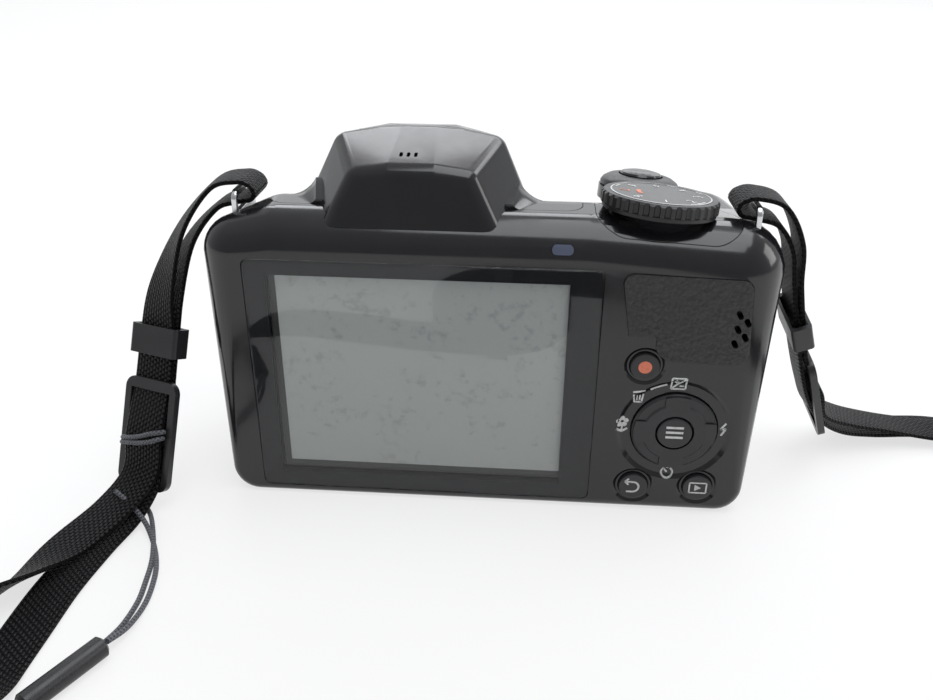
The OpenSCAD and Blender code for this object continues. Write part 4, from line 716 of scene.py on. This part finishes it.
# Lamps: the pale charge lamp on the back and the amber focus lamp beside the lens, clear caps in their holes.
pale_lamp = moulded_plastic("pale_lamp", (0.07, 0.082, 0.125), (0.09, 0.105, 0.155), 0.15, 0.25, 1200.0, 0.003)
amber_lamp = moulded_plastic("amber_lamp", (0.5, 0.12, 0.03), (0.6, 0.16, 0.04), 0.1, 0.2, 1200.0, 0.003)
moulding("indicator_lamp", "camera", pale_lamp, 0.0)
moulding("focus_lamp", "camera", amber_lamp, 0.0)

# Doors: the battery door under the grip and the terminal door in the right side, each on its own hinge.
moulding("battery_door", "battery_lid", gloss_black, 0.0)
moulding("terminal_door", "terminal_lid", gloss_black, 0.0)

# Base: a steel tripod bush between the covers and four black cross-head screws.
plated_black = moulded_plastic("black_plated_screw", (0.02, 0.02, 0.021), (0.03, 0.03, 0.032), 0.3, 0.45, 2400.0, 0.005)
plated_black.node_tree.nodes["Principled BSDF"].inputs["Metallic"].default_value = 0.8
moulding("tripod_bush", "camera", bright, 0.15)
moulding("cover_screws", "camera", plated_black, 0.0)

# Inner pieces, seen with a door open or the barrels out: boards, cells, contacts, card, motor and chassis.
# They keep their CAD shapes and get the finish of plain sheet metal, green board or moulded plastic.
sheet_metal = moulded_plastic("plain_sheet_metal", (0.48, 0.49, 0.5), (0.56, 0.57, 0.58), 0.3, 0.45, 2000.0, 0.006)
sheet_metal.node_tree.nodes["Principled BSDF"].inputs["Metallic"].default_value = 1.0
board_green = moulded_plastic("green_board", (0.018, 0.09, 0.045), (0.03, 0.13, 0.065), 0.3, 0.45, 1400.0, 0.01)
cell_wrap = moulded_plastic("cell_wrapper", (0.42, 0.3, 0.07), (0.5, 0.36, 0.09), 0.2, 0.32, 900.0, 0.004)
inner_grey = moulded_plastic("inner_grey", (0.035, 0.035, 0.038), (0.05, 0.05, 0.054), 0.4, 0.55, 1800.0, 0.008)
for material, nodes in [(sheet_metal, ["chassis_plate", "selector_pivot", "contact_plate", "flash_capacitor", "zoom_motor"]),
                        (board_green, ["button_board", "main_board", "sensor_plate"]), (cell_wrap, ["battery_cells"]),
                        (inner_grey, ["terminal_block", "speaker", "memory_card"])]:
    for node in nodes:
        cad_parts[node].data.materials.clear()
        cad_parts[node].data.materials.append(material)

# Studio: a plain pale table top, a soft box high in front, a low wide one behind it, a weaker one overhead,
# and a soft sky that is darker behind the viewer.
bm = bmesh.new()
bmesh.ops.create_grid(bm, x_segments=1, y_segments=1, size=12.0, matrix=Matrix.Translation((0, 0, -0.00005)))
table_mesh = bpy.data.meshes.new("table_top")
bm.to_mesh(table_mesh)
bm.free()
table_top = bpy.data.objects.new("table_top", table_mesh)
bpy.context.scene.collection.objects.link(table_top)
pale = bpy.data.materials.new("pale_table")
pale.use_nodes = True
pale_tree = pale.node_tree
pale_shader = pale_tree.nodes["Principled BSDF"]
pale_shader.inputs["Base Color"].default_value = (0.82, 0.82, 0.82, 1)
pale_shader.inputs["Roughness"].default_value = 0.9
pale_shader.inputs["Specular IOR Level"].default_value = 0.1
path = patch(pale_tree, "ShaderNodeLightPath").node.outputs
seen = maths(pale_tree, "MAXIMUM", maths(pale_tree, "MAXIMUM", path["Is Camera Ray"], path["Is Glossy Ray"]), path["Is Transmission Ray"])
white = patch(pale_tree, "ShaderNodeEmission", Color=(1, 1, 1, 1), Strength=1.0)
table_mix = patch(pale_tree, "ShaderNodeMixShader", Fac=maths(pale_tree, "MULTIPLY", seen, 0.7))
pale_tree.links.new(pale_shader.outputs[0], table_mix.node.inputs[1])
pale_tree.links.new(white, table_mix.node.inputs[2])
pale_tree.links.new(table_mix, pale_tree.nodes["Material Output"].inputs["Surface"])
table_mesh.materials.append(pale)


def soft_box(name, place, aim, wide, deep, watts, colour):
    lamp = bpy.data.lights.new(name, "AREA")
    lamp.shape = "RECTANGLE"
    lamp.size, lamp.size_y = wide, deep
    lamp.energy = watts
    lamp.color = colour
    holder = bpy.data.objects.new(name, lamp)
    holder.location = place
    holder.rotation_mode = "QUATERNION"
    holder.rotation_quaternion = (Vector(aim) - Vector(place)).to_track_quat("-Z", "Y")
    bpy.context.scene.collection.objects.link(holder)


soft_box("main_box", (0.22, 0.95, 0.92), (0.0, 0.0, 0.06), 2.0, 0.34, 8.4, (0.95, 0.97, 1.0))
soft_box("low_rear_box", (0.1, 1.3, 0.42), (0.0, 0.0, 0.06), 2.0, 0.4, 1.6, (0.95, 0.97, 1.0))
soft_box("overhead_box", (0.25, -0.05, 1.1), (0.0, 0.0, 0.03), 1.2, 0.7, 8.0, (0.95, 0.97, 1.0))
soft_box("right_box", (1.2, 0.1, 0.5), (0.0, 0.0, 0.04), 0.5, 0.6, 3.0, (1.0, 1.0, 1.0))
sky = bpy.data.worlds.new("soft_sky")
bpy.context.scene.world = sky
sky.use_nodes = True
sky_tree = sky.node_tree
aim = patch(sky_tree, "ShaderNodeTexCoord").node.outputs["Generated"]
up = patch(sky_tree, "ShaderNodeSeparateXYZ", Vector=aim).node.outputs
level = maths(sky_tree, "ADD", maths(sky_tree, "MULTIPLY", up["Y"], 0.5), maths(sky_tree, "MULTIPLY", up["Z"], 0.1))
sky_light = patch(sky_tree, "ShaderNodeMapRange", Value=level, From_Min=-0.5, From_Max=0.5, To_Min=0.3, To_Max=0.8)
tint = patch(sky_tree, "ShaderNodeCombineColor", i0=maths(sky_tree, "MULTIPLY", sky_light, 0.97),
             i1=maths(sky_tree, "MULTIPLY", sky_light, 0.985), i2=sky_light)
sky_tree.links.new(tint, sky_tree.nodes["Background"].inputs["Color"])
bpy.context.scene.view_settings.view_transform = "Standard"
